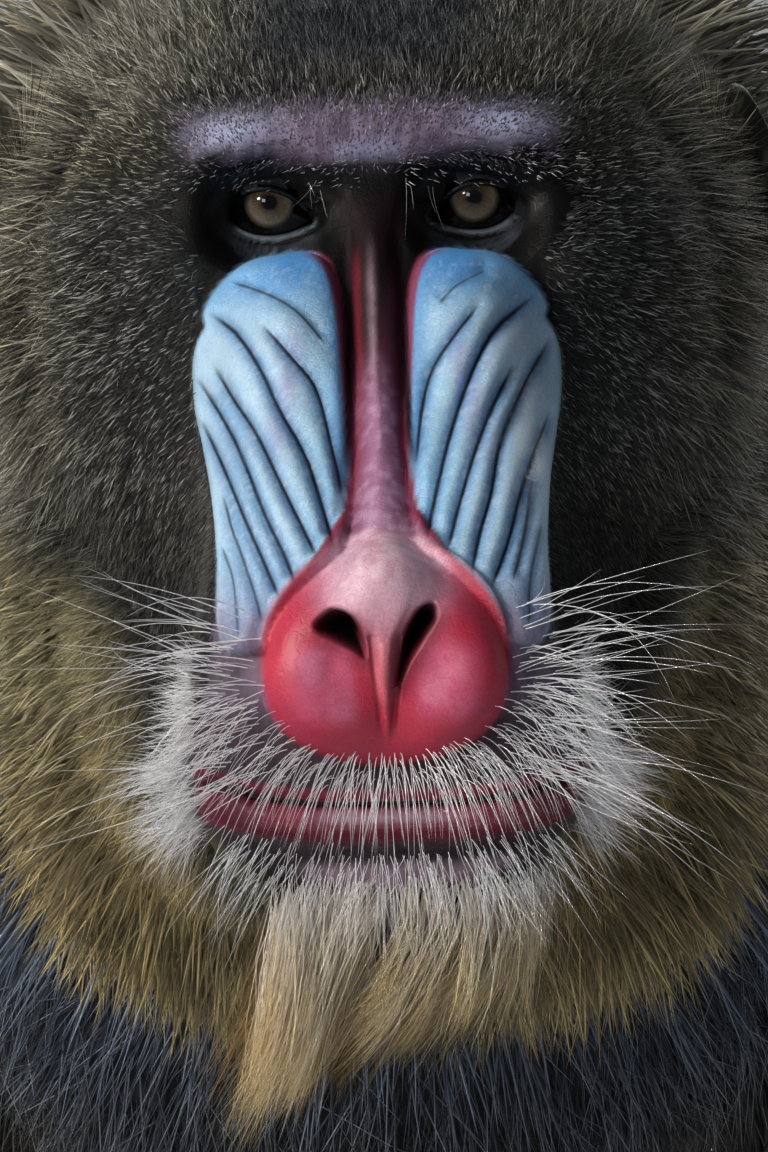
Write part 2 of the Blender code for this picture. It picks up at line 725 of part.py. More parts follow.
def floor_cutter():
    """A slab under the floor, which leaves the soles flat at floor level."""
    mesh = bpy.data.meshes.new("floor")
    made = bmesh.new()
    bmesh.ops.create_cube(made, size=1.0)
    made.to_mesh(mesh)
    made.free()
    slab = new_object("floor", mesh)
    slab.location = (0, 0, -0.5)
    slab.scale = (2, 2, 1)
    bpy.context.view_layer.update()
    return slab


def digit(start, direction, size):
    """One finger or toe that lies on the floor, arched at its middle joint."""
    length, radius = size
    start, direction = np.asarray(start, float), unit(direction)
    shares = (-0.25, 0.28, 0.80, 1.0)
    path = [start + direction * length * share for share in shares]
    thick = radius * np.array((1.0, 1.0, 0.90, 0.35))
    heights = thick + (0.0030, 0.0045, -DIP, -0.5 * DIP)
    path = [(point[0], point[1], height) for point, height in zip(path, heights)]
    return sweep("digit", path, thick, thick, 6)


def add_digits(target, base, lengths, size, thumb, side):
    """Fuses four digits and a thumb or big toe to a palm or sole, and cuts it flat.

    thumb is its length, its half thickness and how far behind the base it starts.
    """
    tools = []
    for i, longer in enumerate(lengths):
        across = (i - 1.5) * DIGIT_SPREAD / 3
        start = np.array(base) + (across, 0.010 * abs(i - 1.5) / 1.5, 0)
        heading = (across * 4.0, -1.0, 0)
        tools.append(digit((start[0], start[1], 0), heading, (size[0] * longer, size[1])))
    inner_start = np.array(base) + (-side * DIGIT_SPREAD * 0.62, thumb[2], 0)
    tools.append(digit((inner_start[0], inner_start[1], 0), (-side * 0.75, -0.8, 0), thumb[:2]))
    apply_boolean(target, tools, "UNION")
    apply_boolean(target, [floor_cutter()], "DIFFERENCE")


def build_forelimb(side, label, finishes):
    """Upper arm, forearm and hand of one side."""
    shift = np.array((0, STRIDE * side, 0))
    places = [np.array(point) * (side, 1, 1) for point in (SHOULDER, ELBOW, WRIST, KNUCKLES)]
    shoulder, elbow, wrist, knuckles = places
    wrist, knuckles = wrist - shift, knuckles - shift
    elbow = elbow - shift * 0.5
    root = shoulder + (-0.034 * side, 0.0, 0.045)
    points = (root, shoulder, (shoulder + elbow) / 2 + (0.008 * side, 0.004, 0), elbow)
    points += ((elbow + wrist) / 2 + (0, -0.004, 0), wrist, wrist * 0.45 + knuckles * 0.55, knuckles)
    names = [f"upper_arm_{label}", f"forearm_{label}", f"hand_{label}"]
    upper, fore, hand = limb_pieces(names, points, ARM_WIDTHS, ARM_DEPTHS, ARM_RINGS)
    base = knuckles + (0, 0.008, 0)
    add_digits(hand, base, FINGER_LENGTHS, FINGER, (*THUMB, THUMB_SETBACK), side)
    settle(upper, finishes["limb"])
    settle(fore, finishes["limb"])
    settle(hand, finishes["palm"])
    return upper, fore


def build_hindlimb(side, label, finishes):
    """Thigh, shin and foot of one side."""
    shift = np.array((0, -STRIDE * side, 0))
    places = [np.array(point) * (side, 1, 1) for point in (HIP, KNEE, ANKLE, BALL_OF_FOOT)]
    hip, knee, ankle, ball_of_foot = places
    knee, ankle, ball_of_foot = knee - shift * 0.5, ankle - shift, ball_of_foot - shift
    root = hip + (-0.020 * side, 0.010, 0.040)
    points = (root, hip, (hip + knee) / 2 + (0.010 * side, -0.004, 0), knee)
    points += ((knee + ankle) / 2 + (0, -0.010, 0), ankle, ankle + (0, 0.012, -0.068))
    names = [f"thigh_{label}", f"shin_{label}", f"foot_{label}"]
    thigh, shin, foot = limb_pieces(names, points, LEG_WIDTHS, LEG_DEPTHS, LEG_RINGS)
    heel = ankle + (0, 0.020, 0)
    sole = (
        (heel[0], heel[1] + 0.012, 0.020),
        (heel[0], heel[1] - 0.006, 0.025 - DIP),
        (heel[0], heel[1] - 0.040, 0.026),
        (ball_of_foot[0], ball_of_foot[1] + 0.035, 0.018),
        (ball_of_foot[0], ball_of_foot[1] - 0.004, 0.013 - DIP),
    )
    tool = sweep("sole", sole, SOLE_WIDTHS, SOLE_DEPTHS, 10)
    apply_boolean(foot, [tool], "UNION")
    base = ball_of_foot + (0, 0.006, 0)
    add_digits(foot, base, TOE_LENGTHS, TOE, (*BIG_TOE, BIG_TOE_SETBACK), side)
    settle(thigh, finishes["limb"])
    settle(shin, finishes["limb"])
    settle(foot, finishes["palm"])
    return thigh, shin


def build_torso(finishes, rng):
    """Chest and hips, with the limbs let into them and the locks of cape and back."""
    last = len(TORSO) - 1
    fore_steps = np.linspace(0, WAIST_ROW, WAIST_ROW * TORSO_RINGS_PER_ROW + 1)
    hind_steps = np.linspace(WAIST_ROW, last, (last - WAIST_ROW) * TORSO_RINGS_PER_ROW + 1)
    fore = body_rings(TORSO, fore_steps, TORSO_SIDES)
    hind = body_rings(TORSO, hind_steps, TORSO_SIDES)
    hind[0, :, 1] += GAP
    chest_core = new_object("chest_core", ring_mesh("chest_core", fore))
    hips_core = new_object("hips_core", ring_mesh("hips_core", hind))
    chest = new_object("chest", chest_core.data.copy())
    hips = new_object("hips", hips_core.data.copy())
    arms = [*build_forelimb(-1, "right", finishes), *build_forelimb(1, "left", finishes)]
    legs = [*build_hindlimb(-1, "right", finishes), *build_hindlimb(1, "left", finishes)]
    hair = coat_rows(Surface(fore), (0.45, 0.115, 5), 11, CHEST_LOCK, 17, rng, 0.35)
    add_locks(chest, hair)
    hair = coat_rows(Surface(hind), (0.10, 0.19, 4), 7, BACK_LOCK, 15, rng, 0.35, (-0.26, 0.26))
    add_locks(hips, hair)
    apply_boolean(chest, [grown_copy(item) for item in [*arms, *legs, hips_core]], "DIFFERENCE")
    apply_boolean(hips, [grown_copy(limb) for limb in legs], "DIFFERENCE")
    settle(chest, finishes["chest"])
    return chest_core, hips_core, hips, arms


def build_tail(hips, core, finishes, rng):
    """Tail stub with its tuft, and the bare pads of the rump."""
    rings = path_rings(spread(TAIL_PATH, len(TAIL_RADII)), TAIL_RADII, TAIL_RADII, 8)
    tail = new_object("tail", ring_mesh("tail", rings))
    trim = grown_copy(tail)
    add_locks(tail, coat_rows(Surface(rings), (0.52, 0.24, 2), 5, TAIL_LOCK, 16, rng, 0.0))
    apply_boolean(tail, [grown_copy(core)], "DIFFERENCE")
    settle(tail, finishes["mane"])
    apply_boolean(hips, [trim], "DIFFERENCE")
    settle(hips, finishes["hips"])
    for side, label in ((-1, "right"), (1, "left")):
        place = np.array(PAD_PLACE) * (side, 1, 1)
        pad = ball(f"rump_pad_{label}", place, PAD_RADII, 6, 10)
        apply_boolean(pad, [grown_copy(core)], "DIFFERENCE")
        settle(pad, finishes["pad"])


def main():
    """Builds the whole animal."""
    clear_scene()
    rng = np.random.default_rng(SEED)
    finishes = make_finishes()
    frame = head_frame()
    head, head_core, points = build_head(frame, finishes, rng)
    build_ears(frame, head, head_core, finishes)
    chest_core, hips_core, hips, arms = build_torso(finishes, rng)
    build_neck(head, points, [chest_core, *arms], finishes, rng)
    build_tail(hips, hips_core, finishes, rng)
    for core in (head_core, chest_core, hips_core):
        bpy.data.objects.remove(core)
    for item in bpy.data.objects:
        if item.parent is None:
            item.location.y += SET_BACK


main()
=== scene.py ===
"""Looks of a life-size adult male mandrill that stands on all fours, face to the front.

Metres, +Z up, the animal faces -Y. The head is worked out in a frame of its own, in
millimetres: origin midway between the eyes, +X to the animal's left, -Y out of the face,
+Z up the brow.
"""

import logging
import math
from dataclasses import dataclass, field
from enum import Enum

import bmesh
import bpy
import numpy as np
from mathutils import Matrix, Vector
from mathutils.bvhtree import BVHTree


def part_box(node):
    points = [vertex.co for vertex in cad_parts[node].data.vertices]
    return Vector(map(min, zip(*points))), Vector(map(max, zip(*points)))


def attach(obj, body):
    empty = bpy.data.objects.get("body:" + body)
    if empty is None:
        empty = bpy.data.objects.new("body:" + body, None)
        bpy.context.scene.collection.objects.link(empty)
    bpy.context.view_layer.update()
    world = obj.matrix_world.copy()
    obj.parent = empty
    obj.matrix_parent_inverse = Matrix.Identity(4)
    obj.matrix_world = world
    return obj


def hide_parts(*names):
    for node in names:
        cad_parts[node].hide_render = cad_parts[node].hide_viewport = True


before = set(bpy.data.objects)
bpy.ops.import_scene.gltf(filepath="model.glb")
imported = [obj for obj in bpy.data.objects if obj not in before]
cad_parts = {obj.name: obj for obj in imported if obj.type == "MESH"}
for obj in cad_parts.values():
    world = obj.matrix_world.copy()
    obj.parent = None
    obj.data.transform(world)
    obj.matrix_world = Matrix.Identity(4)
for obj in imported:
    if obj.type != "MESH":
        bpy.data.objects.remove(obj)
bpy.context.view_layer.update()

log = logging.getLogger("mandrill")

MM = 0.001
SEED = 11
SIDES = {"right": -1, "left": 1}
# Least difference in length or depth that is not taken as zero
TINY = 1e-9

# Head, nose to nape, in millimetres: top forward, top height, bottom forward, bottom
# height, half width, squareness above and below, and how high the widest place is
HEAD_ROWS = (
    (91, -103, 91, -103, 0.1, 2.0, 2.0, 0.50),
    (93, -94, 89, -113, 12, 2.1, 2.1, 0.50),
    (92, -86, 86, -124, 23, 2.2, 2.2, 0.50),
    (88, -79, 83, -134, 32, 2.4, 2.3, 0.49),
    (81, -71, 79, -144, 37.5, 2.7, 2.4, 0.48),
    (72, -62, 71, -152, 40, 3.0, 2.5, 0.47),
    (61, -51, 56, -157, 40, 3.2, 2.6, 0.47),
    (49, -39, 36, -153, 38.5, 3.3, 2.6, 0.47),
    (38, -28, 14, -143, 38.5, 3.1, 2.5, 0.48),
    (27, -17, -8, -132, 42, 2.8, 2.4, 0.50),
    (18, -7, -26, -123, 50, 2.6, 2.4, 0.52),
    (13, 5, -42, -116, 62, 2.5, 2.4, 0.53),
    (7, 19, -56, -112, 73, 2.4, 2.3, 0.54),
    (-7, 35, -70, -111, 79, 2.3, 2.3, 0.54),
    (-30, 50, -86, -112, 80, 2.2, 2.2, 0.54),
    (-58, 60, -102, -116, 79, 2.2, 2.2, 0.54),
    (-86, 62, -114, -122, 78, 2.2, 2.2, 0.54),
    (-108, 57, -124, -128, 79, 2.2, 2.2, 0.54),
)

# Body in metres: distance back, top, bottom and half width
TORSO_ROWS = (
    (-0.136, 0.470, 0.410, 0.045),
    (-0.126, 0.530, 0.350, 0.078),
    (-0.095, 0.582, 0.306, 0.106),
    (-0.035, 0.612, 0.284, 0.125),
    (0.050, 0.612, 0.276, 0.130),
    (0.130, 0.595, 0.288, 0.127),
    (0.200, 0.578, 0.312, 0.119),
    (0.265, 0.568, 0.345, 0.112),
    (0.325, 0.560, 0.375, 0.107),
    (0.370, 0.541, 0.398, 0.094),
    (0.396, 0.508, 0.425, 0.070),
    (0.403, 0.482, 0.450, 0.040),
)
NECK_ROWS = (
    (-0.215, 0.600, 0.440, 0.070),
    (-0.162, 0.622, 0.424, 0.085),
    (-0.116, 0.616, 0.392, 0.096),
    (-0.060, 0.596, 0.390, 0.100),
    (-0.010, 0.560, 0.420, 0.085),
)

# Grooves between the rolls of the two cheek swellings, as (across, height) in
# millimetres of the face seen from the front, with the depth of each in millimetres
GROOVES = (
    (1.0, ((-30.7, -16.3), (-22, -20), (-16, -24.1), (-10.4, -31))),
    (1.8, ((-23.9, -26.2), (-17.3, -34.3), (-12.7, -41), (-9.5, -55), (-8.0, -63))),
    (2.6, ((-35.5, -23), (-29.5, -27.9), (-24.2, -36.4), (-20.8, -44.4), (-15.5, -54.4), (-12.3, -65), (-9.9, -74))),
    (2.3, ((-34.5, -34.4), (-30.4, -42), (-25.7, -49.4), (-21.7, -58), (-17.1, -68), (-13.4, -76))),
    (2.2, ((-38.5, -36.5), (-32.2, -47), (-28.1, -56), (-24.2, -66.6), (-20.2, -75.4), (-18.3, -81))),
    (1.9, ((-37.5, -46), (-32.4, -57.4), (-28.4, -67.5), (-24.4, -77), (-21.6, -84))),
    (1.3, ((-33, -62), (-31, -70), (-29.2, -75), (-26.7, -83), (-25.2, -89))),
    (0.9, ((-33.5, -73), (-31.2, -80), (-30.4, -92))),
    (1.0, ((24.5, -15.5), (17.5, -19), (13.6, -23))),
    (1.8, ((22.5, -23), (16.6, -30), (11.5, -37.5), (9.0, -47), (7.6, -57))),
    (2.6, ((34.5, -21), (26.2, -27.7), (21.7, -34.3), (17.1, -45), (13.8, -55), (11.3, -64.6), (9.2, -73))),
    (2.3, ((29, -36), (23.8, -45.8), (19.8, -55.5), (16.3, -66), (13.6, -75.4))),
    (2.2, ((37.5, -30), (33, -37), (29.3, -44), (25.2, -53.4), (23.1, -63.4), (20.2, -72.6), (18.4, -80.7))),
    (1.9, ((36.5, -46), (32.6, -55), (29.1, -64), (26.2, -74), (22.3, -83.6))),
    (1.3, ((32, -60), (29.8, -72), (27.1, -82))),
    (0.9, ((33.5, -70), (30.6, -82), (30, -91))),
)
ROLL_REACH = 3.9
# How far from a groove its distance is followed, in millimetres
GROOVE_REACH = 3.0

# Outline of one cheek swelling, seen from the front, on the animal's left
SWELLING = (
    (12, -12), (20, -11.5), (27, -13), (33, -18), (36, -23), (35.6, -26), (38.2, -31), (38.8, -38),
    (38, -46), (36.5, -54), (35, -62), (34, -74), (33.5, -92), (27, -94), (24, -89), (18.5, -82),
    (12.5, -76.5), (9, -72), (7.3, -62), (6.6, -48), (7.2, -34), (8.5, -20),
)
# Half widths of the bare strip down the middle of the face: height, half width
STRIP = ((2, 5.5), (-10, 4.6), (-30, 4.8), (-52, 5.3), (-66, 7.2), (-74, 12.5), (-80, 17.0))
NOSE_PAD = (
    (0, -72), (8, -74), (14, -76.8), (19, -81), (23, -87), (25, -94), (25, -101.5),
    (23.2, -108), (18.6, -113.4), (10.5, -117.2), (0, -118.6),
)
NOSTRIL_WIDE = ((14.0, -91.0), (12.4, -88.8), (9.6, -87.5), (6.8, -88.2), (5.2, -91.0), (4.5, -96.6), (6.6, -95.2), (10.4, -93.0))
NOSTRIL_LONG = (
    (10.8, -89.4), (9.2, -86.8), (7.0, -87.2), (5.0, -90.6), (3.5, -96), (2.7, -102.5), (3.9, -100.6), (5.6, -97.2), (8.2, -93.2),
)
# Folds under each eye: how far each lies below the lid, and how deep it is
EYE_FOLDS = ((0.2, 0.7), (1.6, 0.6), (3.0, 0.5))
MOUTH_LINE = ((-41, -121.5), (-28, -125.4), (-14, -127.4), (0, -127.6), (14, -127.6), (28, -126.2), (42, -122.5))
# Opening between the lids of the eye on the animal's left, about the middle of the face
LID_OPENING = (
    (12.3, -3.4), (16.5, 1.4), (22, 3.7), (27.5, 3.0), (31.4, 0.2), (30, -4.0), (25.5, -6.6), (20, -6.9), (15.5, -5.6),
)
# Bare skin of the face on one side, from the brow round to the chin
BARE = (
    (0, 6), (16, 8), (30, 7.5), (40, 4), (43, -1), (39, -8), (36, -13), (37.5, -22), (39, -32), (38.8, -45),
    (36.5, -58), (35.5, -75), (36.5, -92), (39, -106), (41.5, -118), (41, -126), (36, -133), (24, -141), (0, -146),
)


def linear(code: str) -> np.ndarray:
    """Turns an sRGB hex colour into linear red, green and blue.

    Args:
        code: Six hex digits after a hash.

    Returns:
        Three linear values between 0 and 1.
    """
    share = np.array([int(code[i : i + 2], 16) for i in (1, 3, 5)]) / 255
    return np.where(share <= 0.04045, share / 12.92, ((share + 0.055) / 1.055) ** 2.4)


def smoothstep(low: float, high: float, value: np.ndarray) -> np.ndarray:
    """Rises smoothly from 0 at low to 1 at high; low may be the larger.

    Args:
        low: Where the rise starts.
        high: Where the rise ends.
        value: The values to read it at.

    Returns:
        The share at each value.
    """
    t = np.clip((value - low) / (high - low), 0, 1)
    return t * t * (3 - 2 * t)


def unit(vectors: np.ndarray) -> np.ndarray:
    """Brings vectors to length one.

    Args:
        vectors: Any array whose last axis is a vector.

    Returns:
        The same directions.
    """
    vectors = np.asarray(vectors, float)
    return vectors / np.maximum(np.linalg.norm(vectors, axis=-1, keepdims=True), TINY)


def smooth_rows(rows: np.ndarray, steps: np.ndarray) -> np.ndarray:
    """Reads a table's rows at fractional steps, on a smooth curve through them.

    Args:
        rows: The table.
        steps: Row numbers, not always whole.

    Returns:
        One row for each step.
    """
    rows = np.asarray(rows, float)
    steps = np.asarray(steps, float)
    low = np.clip(steps.astype(int), 0, len(rows) - 2)
    u = (steps - low)[:, None]
    padded = np.vstack([2 * rows[0] - rows[1], rows, 2 * rows[-1] - rows[-2]])
    a, b, c, d = padded[low], padded[low + 1], padded[low + 2], padded[low + 3]
    bend = (2 * a - 5 * b + 4 * c - d) * u**2 + (3 * b - a - 3 * c + d) * u**3
    return 0.5 * (2 * b + (c - a) * u + bend)


def spread(rows: np.ndarray, count: int) -> np.ndarray:
    """Reads a table at so many even steps from first row to last.

    Args:
        rows: The table.
        count: How many rows to read.

    Returns:
        The rows read.
    """
    return smooth_rows(rows, np.linspace(0, len(rows) - 1, count))


def closed_curve(points: tuple, per_side: int = 6) -> np.ndarray:
    """A smooth closed line through a few points.

    Args:
        points: Corners in order.
        per_side: Points for each corner.

    Returns:
        The line's points, without the repeated last one.
    """
    count = len(points)
    padded = [points[-1], *points, points[0], points[1]]
    steps = 1 + np.arange(count * per_side) / per_side
    return smooth_rows(padded, steps)


def mirrored(points: tuple, side: int) -> tuple:
    """One side's points, on the side asked for.

    Args:
        points: (across, height) on the animal's left.
        side: 1 for left, -1 for right.

    Returns:
        The points with their first value turned round for the right.
    """
    return tuple((side * x, z) for x, z in points)


def line_distance(places: np.ndarray, line: np.ndarray) -> tuple[np.ndarray, np.ndarray]:
    """Distance from places to a line of points, and where along it that is.

    Args:
        places: Points in the plane, one a row.
        line: The line's points.

    Returns:
        The distances, and shares between 0 at the first point and 1 at the last.
    """
    line = np.asarray(line, float)
    best = np.full(len(places), 1e9)
    share = np.zeros(len(places))
    for i, (a, b) in enumerate(zip(line, line[1:])):
        along = b - a
        t = np.clip(((places - a) @ along) / max(along @ along, TINY), 0, 1)
        gap = np.hypot(*(places - a - t[:, None] * along).T)
        near = gap < best
        best[near] = gap[near]
        share[near] = (i + t[near]) / (len(line) - 1)
    return best, share


def inside_by(places: np.ndarray, outline: np.ndarray) -> np.ndarray:
    """How far places lie inside a closed outline; outside is negative.

    Args:
        places: Points in the plane, one a row.
        outline: The outline's points in order.

    Returns:
        Signed distances.
    """
    outline = np.asarray(outline, float)
    gap, _ = line_distance(places, np.vstack([outline, outline[:1]]))
    within = np.zeros(len(places), bool)
    x, z = places.T
    for a, b in zip(outline, np.roll(outline, -1, axis=0)):
        crosses = (a[1] > z) != (b[1] > z)
        run = (b[0] - a[0]) * (z - a[1]) / (b[1] - a[1] if b[1] != a[1] else TINY) + a[0]
        within ^= crosses & (x < run)
    return np.where(within, gap, -gap)


def mottle(points: np.ndarray, size: float, seed: int) -> np.ndarray:
    """Smooth random patches in space.

    Args:
        points: Places, one a row.
        size: Patch size in the places' unit.
        seed: Which pattern.

    Returns:
        A value from 0 to 1 at each place.
    """
    table = np.random.default_rng(seed).random(4096)
    cell = np.floor(points / size).astype(np.int64)
    part = points / size - cell
    part = part * part * (3 - 2 * part)
    total = np.zeros(len(points))
    for corner in range(8):
        step = np.array([corner & 1, corner >> 1 & 1, corner >> 2 & 1])
        key = (cell + step) @ np.array([73856093, 19349663, 83492791])
        share = np.prod(np.where(step, part, 1 - part), axis=1)
        total += table[key % 4096] * share
    return total


class Layers:
    """Colour in layers: a base, and what is painted over it."""

    def __init__(self, count: int, base: str) -> None:
        """Starts with one colour at every place.

        Args:
            count: How many places.
            base: Hex colour.
        """
        self.rgb = np.tile(linear(base), (count, 1))

    def paint(self, code: str, cover: np.ndarray) -> None:
        """Lays a colour over part of the places.

        Args:
            code: Hex colour.
            cover: How much of it shows at each place, 0 to 1.
        """
        share = np.clip(cover, 0, 1)[:, None]
        self.rgb += (linear(code) - self.rgb) * share


def mesh_object(name: str, points: np.ndarray, faces: list[np.ndarray], smooth: bool = True) -> bpy.types.Object:
    """Makes an object from arrays of points and faces.

    Args:
        name: The object's name.
        points: Places in metres.
        faces: Arrays of point numbers, each with faces of one size.
        smooth: Whether it is shaded smooth.

    Returns:
        The linked object.
    """
    mesh = bpy.data.meshes.new(name)
    mesh.vertices.add(len(points))
    mesh.vertices.foreach_set("co", np.asarray(points, np.float32).ravel())
    loops = np.concatenate([group.ravel() for group in faces])
    sizes = np.concatenate([np.full(len(group), group.shape[1]) for group in faces])
    mesh.loops.add(len(loops))
    mesh.loops.foreach_set("vertex_index", loops.astype(np.int32))
    mesh.polygons.add(len(sizes))
    starts = np.concatenate([[0], np.cumsum(sizes)[:-1]])
    mesh.polygons.foreach_set("loop_start", starts.astype(np.int32))
    mesh.polygons.foreach_set("use_smooth", np.full(len(sizes), smooth))
    mesh.update(calc_edges=True)
    made = bpy.data.objects.new(name, mesh)
    bpy.context.scene.collection.objects.link(made)
    return made


def ring_object(name: str, rings: np.ndarray) -> bpy.types.Object:
    """A closed tube of rings, with a point in the middle of each end.

    Args:
        name: The object's name.
        rings: Rows of points, all with as many points.

    Returns:
        The object, with its faces pointing out.
    """
    rings = np.asarray(rings, float)
    count, sides = rings.shape[:2]
    points = np.vstack([rings.reshape(-1, 3), rings[0].mean(axis=0), rings[-1].mean(axis=0)])
    i, j = np.meshgrid(np.arange(count - 1), np.arange(sides), indexing="ij")
    k = (j + 1) % sides
    quads = np.stack([i * sides + j, i * sides + k, (i + 1) * sides + k, (i + 1) * sides + j], axis=-1).reshape(-1, 4)
    around = np.arange(sides)
    after = (around + 1) % sides
    first, last = count * sides, (count - 1) * sides
    caps = [np.stack([after, around, np.full(sides, first)], axis=1)]
    caps.append(np.stack([last + around, last + after, np.full(sides, first + 1)], axis=1))
    made = mesh_object(name, points, [quads, np.vstack(caps)])
    face_out(made)
    return made


def face_out(target: bpy.types.Object) -> None:
    """Points the faces of a closed object outward.

    Args:
        target: The object.
    """
    work = bmesh.new()
    work.from_mesh(target.data)
    bmesh.ops.recalc_face_normals(work, faces=work.faces)
    if work.calc_volume(signed=True) < 0:
        bmesh.ops.reverse_faces(work, faces=work.faces)
    work.to_mesh(target.data)
    work.free()


def path_rings(path: np.ndarray, widths: np.ndarray, depths: np.ndarray, sides: int, across: tuple) -> np.ndarray:
    """Oval rings square to a path, whose width stays near one direction.

    Args:
        path: Points in metres.
        widths: Half width at each point.
        depths: Half depth at each point.
        sides: Points in a ring.
        across: The direction that the width stays near.

    Returns:
        The rings' points.
    """
    path = np.asarray(path, float)
    tangents = unit(np.gradient(path, axis=0))
    side = unit(np.cross(np.cross(tangents, across), tangents))
    front = np.cross(tangents, side)
    angles = np.arange(sides) * 2 * np.pi / sides
    wide = np.asarray(widths, float)[:, None, None] * np.sin(angles)[None, :, None]
    deep = np.asarray(depths, float)[:, None, None] * np.cos(angles)[None, :, None]
    return path[:, None] + side[:, None] * wide + front[:, None] * deep


def baked_down(target: bpy.types.Object) -> None:
    """Applies an object's modifiers to its mesh.

    Args:
        target: The object, left without modifiers.
    """
    bpy.context.view_layer.update()
    graph = bpy.context.evaluated_depsgraph_get()
    mesh = bpy.data.meshes.new_from_object(target.evaluated_get(graph), depsgraph=graph)
    target.modifiers.clear()
    target.data = mesh


def fused(target: bpy.types.Object, tools: list[bpy.types.Object]) -> None:
    """Joins closed objects to a closed object as one surface, and removes them.

    Args:
        target: The object that stays.
        tools: What is joined to it.
    """
    for tool in tools:
        modifier = target.modifiers.new("fuse", "BOOLEAN")
        modifier.operation = "UNION"
        modifier.solver = "MANIFOLD"
        modifier.object = tool
    baked_down(target)
    for tool in tools:
        bpy.data.objects.remove(tool)


def mesh_points(target: bpy.types.Object) -> np.ndarray:
    """The places of a mesh's points.

    Args:
        target: The object.

    Returns:
        One row for each point.
    """
    flat = np.zeros(len(target.data.vertices) * 3, np.float32)
    target.data.vertices.foreach_get("co", flat)
    return flat.reshape(-1, 3).astype(float)


def mesh_normals(target: bpy.types.Object) -> np.ndarray:
    """The normals of a mesh's points.

    Args:
        target: The object.

    Returns:
        One row for each point.
    """
    flat = np.zeros(len(target.data.vertices) * 3, np.float32)
    target.data.vertex_normals.foreach_get("vector", flat)
    return flat.reshape(-1, 3).astype(float)


def tint(target: bpy.types.Object, name: str, rgb: np.ndarray) -> None:
    """Writes a colour for each point of a mesh.

    Args:
        target: The object.
        name: The attribute's name.
        rgb: Linear colours, one a row.
    """
    layer = target.data.attributes.new(name, "FLOAT_COLOR", "POINT")
    layer.data.foreach_set("color", np.c_[rgb, np.ones(len(rgb))].astype(np.float32).ravel())


def weigh(target: bpy.types.Object, name: str, values: np.ndarray) -> None:
    """Writes a number for each point of a mesh.

    Args:
        target: The object.
        name: The attribute's name.
        values: One number for each point.
    """
    layer = target.data.attributes.new(name, "FLOAT", "POINT")
    layer.data.foreach_set("value", values.astype(np.float32))


def spot(target: bpy.types.Object, name: str, values: np.ndarray) -> None:
    """Writes three numbers for each point of a mesh.

    Args:
        target: The object.
        name: The attribute's name.
        values: Three numbers for each point.
    """
    layer = target.data.attributes.new(name, "FLOAT_VECTOR", "POINT")
    layer.data.foreach_set("vector", values.astype(np.float32).ravel())


def add_node(tree: bpy.types.NodeTree, kind: str, settings: dict | None = None, links: dict | None = None) -> bpy.types.Node:
    """Adds a node with its settings and its links.

    Args:
        tree: The node tree.
        kind: The node's type.
        settings: Attribute names, or input names or numbers, and their values.
        links: Input names or numbers, and the outputs joined to them.

    Returns:
        The node.
    """
    node = tree.nodes.new(kind)
    for key, value in (settings or {}).items():
        if isinstance(key, str) and hasattr(node, key):
            setattr(node, key, value)
        else:
            node.inputs[key].default_value = value
    for key, output in (links or {}).items():
        tree.links.new(output, node.inputs[key])
    return node


def new_material(name: str) -> tuple[bpy.types.Material, bpy.types.NodeTree, bpy.types.Node]:
    """Starts a material with only its shader and its output.

    Args:
        name: What the material is.

    Returns:
        The material, its tree and its Principled shader.
    """
    made = bpy.data.materials.new(name)
    made.use_nodes = True
    return made, made.node_tree, made.node_tree.nodes["Principled BSDF"]


@dataclass(frozen=True)
class HeadFrame:
    """Where the head is held: origin between the eyes, and its turn."""

    origin: np.ndarray
    turn: np.ndarray

    @classmethod
    def from_eyes(cls, tilt: float, depth: float) -> "HeadFrame":
        """Finds the head's frame from the two eyeballs of the solids.

        Args:
            tilt: How far the face is tipped forward, in radians.
            depth: How far behind the origin the eyes' middles are, in metres.

        Returns:
            The frame.
        """
        left, right = ((np.array(a) + np.array(b)) / 2 for a, b in (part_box("eye_left"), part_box("eye_right")))
        rise = (left - right)[2] / np.linalg.norm(left - right)
        roll = math.asin(-rise / math.cos(tilt))
        turn = np.array(Matrix.Rotation(-tilt, 3, "X") @ Matrix.Rotation(roll, 3, "Y"))
        return cls((left + right) / 2 - turn @ np.array((0, depth, 0)), turn)

    def world(self, points: np.ndarray) -> np.ndarray:
        """Head millimetres as world metres."""
        return np.asarray(points, float) * MM @ self.turn.T + self.origin

    def local(self, points: np.ndarray) -> np.ndarray:
        """World metres as head millimetres."""
        return (np.asarray(points, float) - self.origin) @ self.turn / MM

    def aim(self, vectors: np.ndarray) -> np.ndarray:
        """Head directions as world directions."""
        return np.asarray(vectors, float) @ self.turn.T


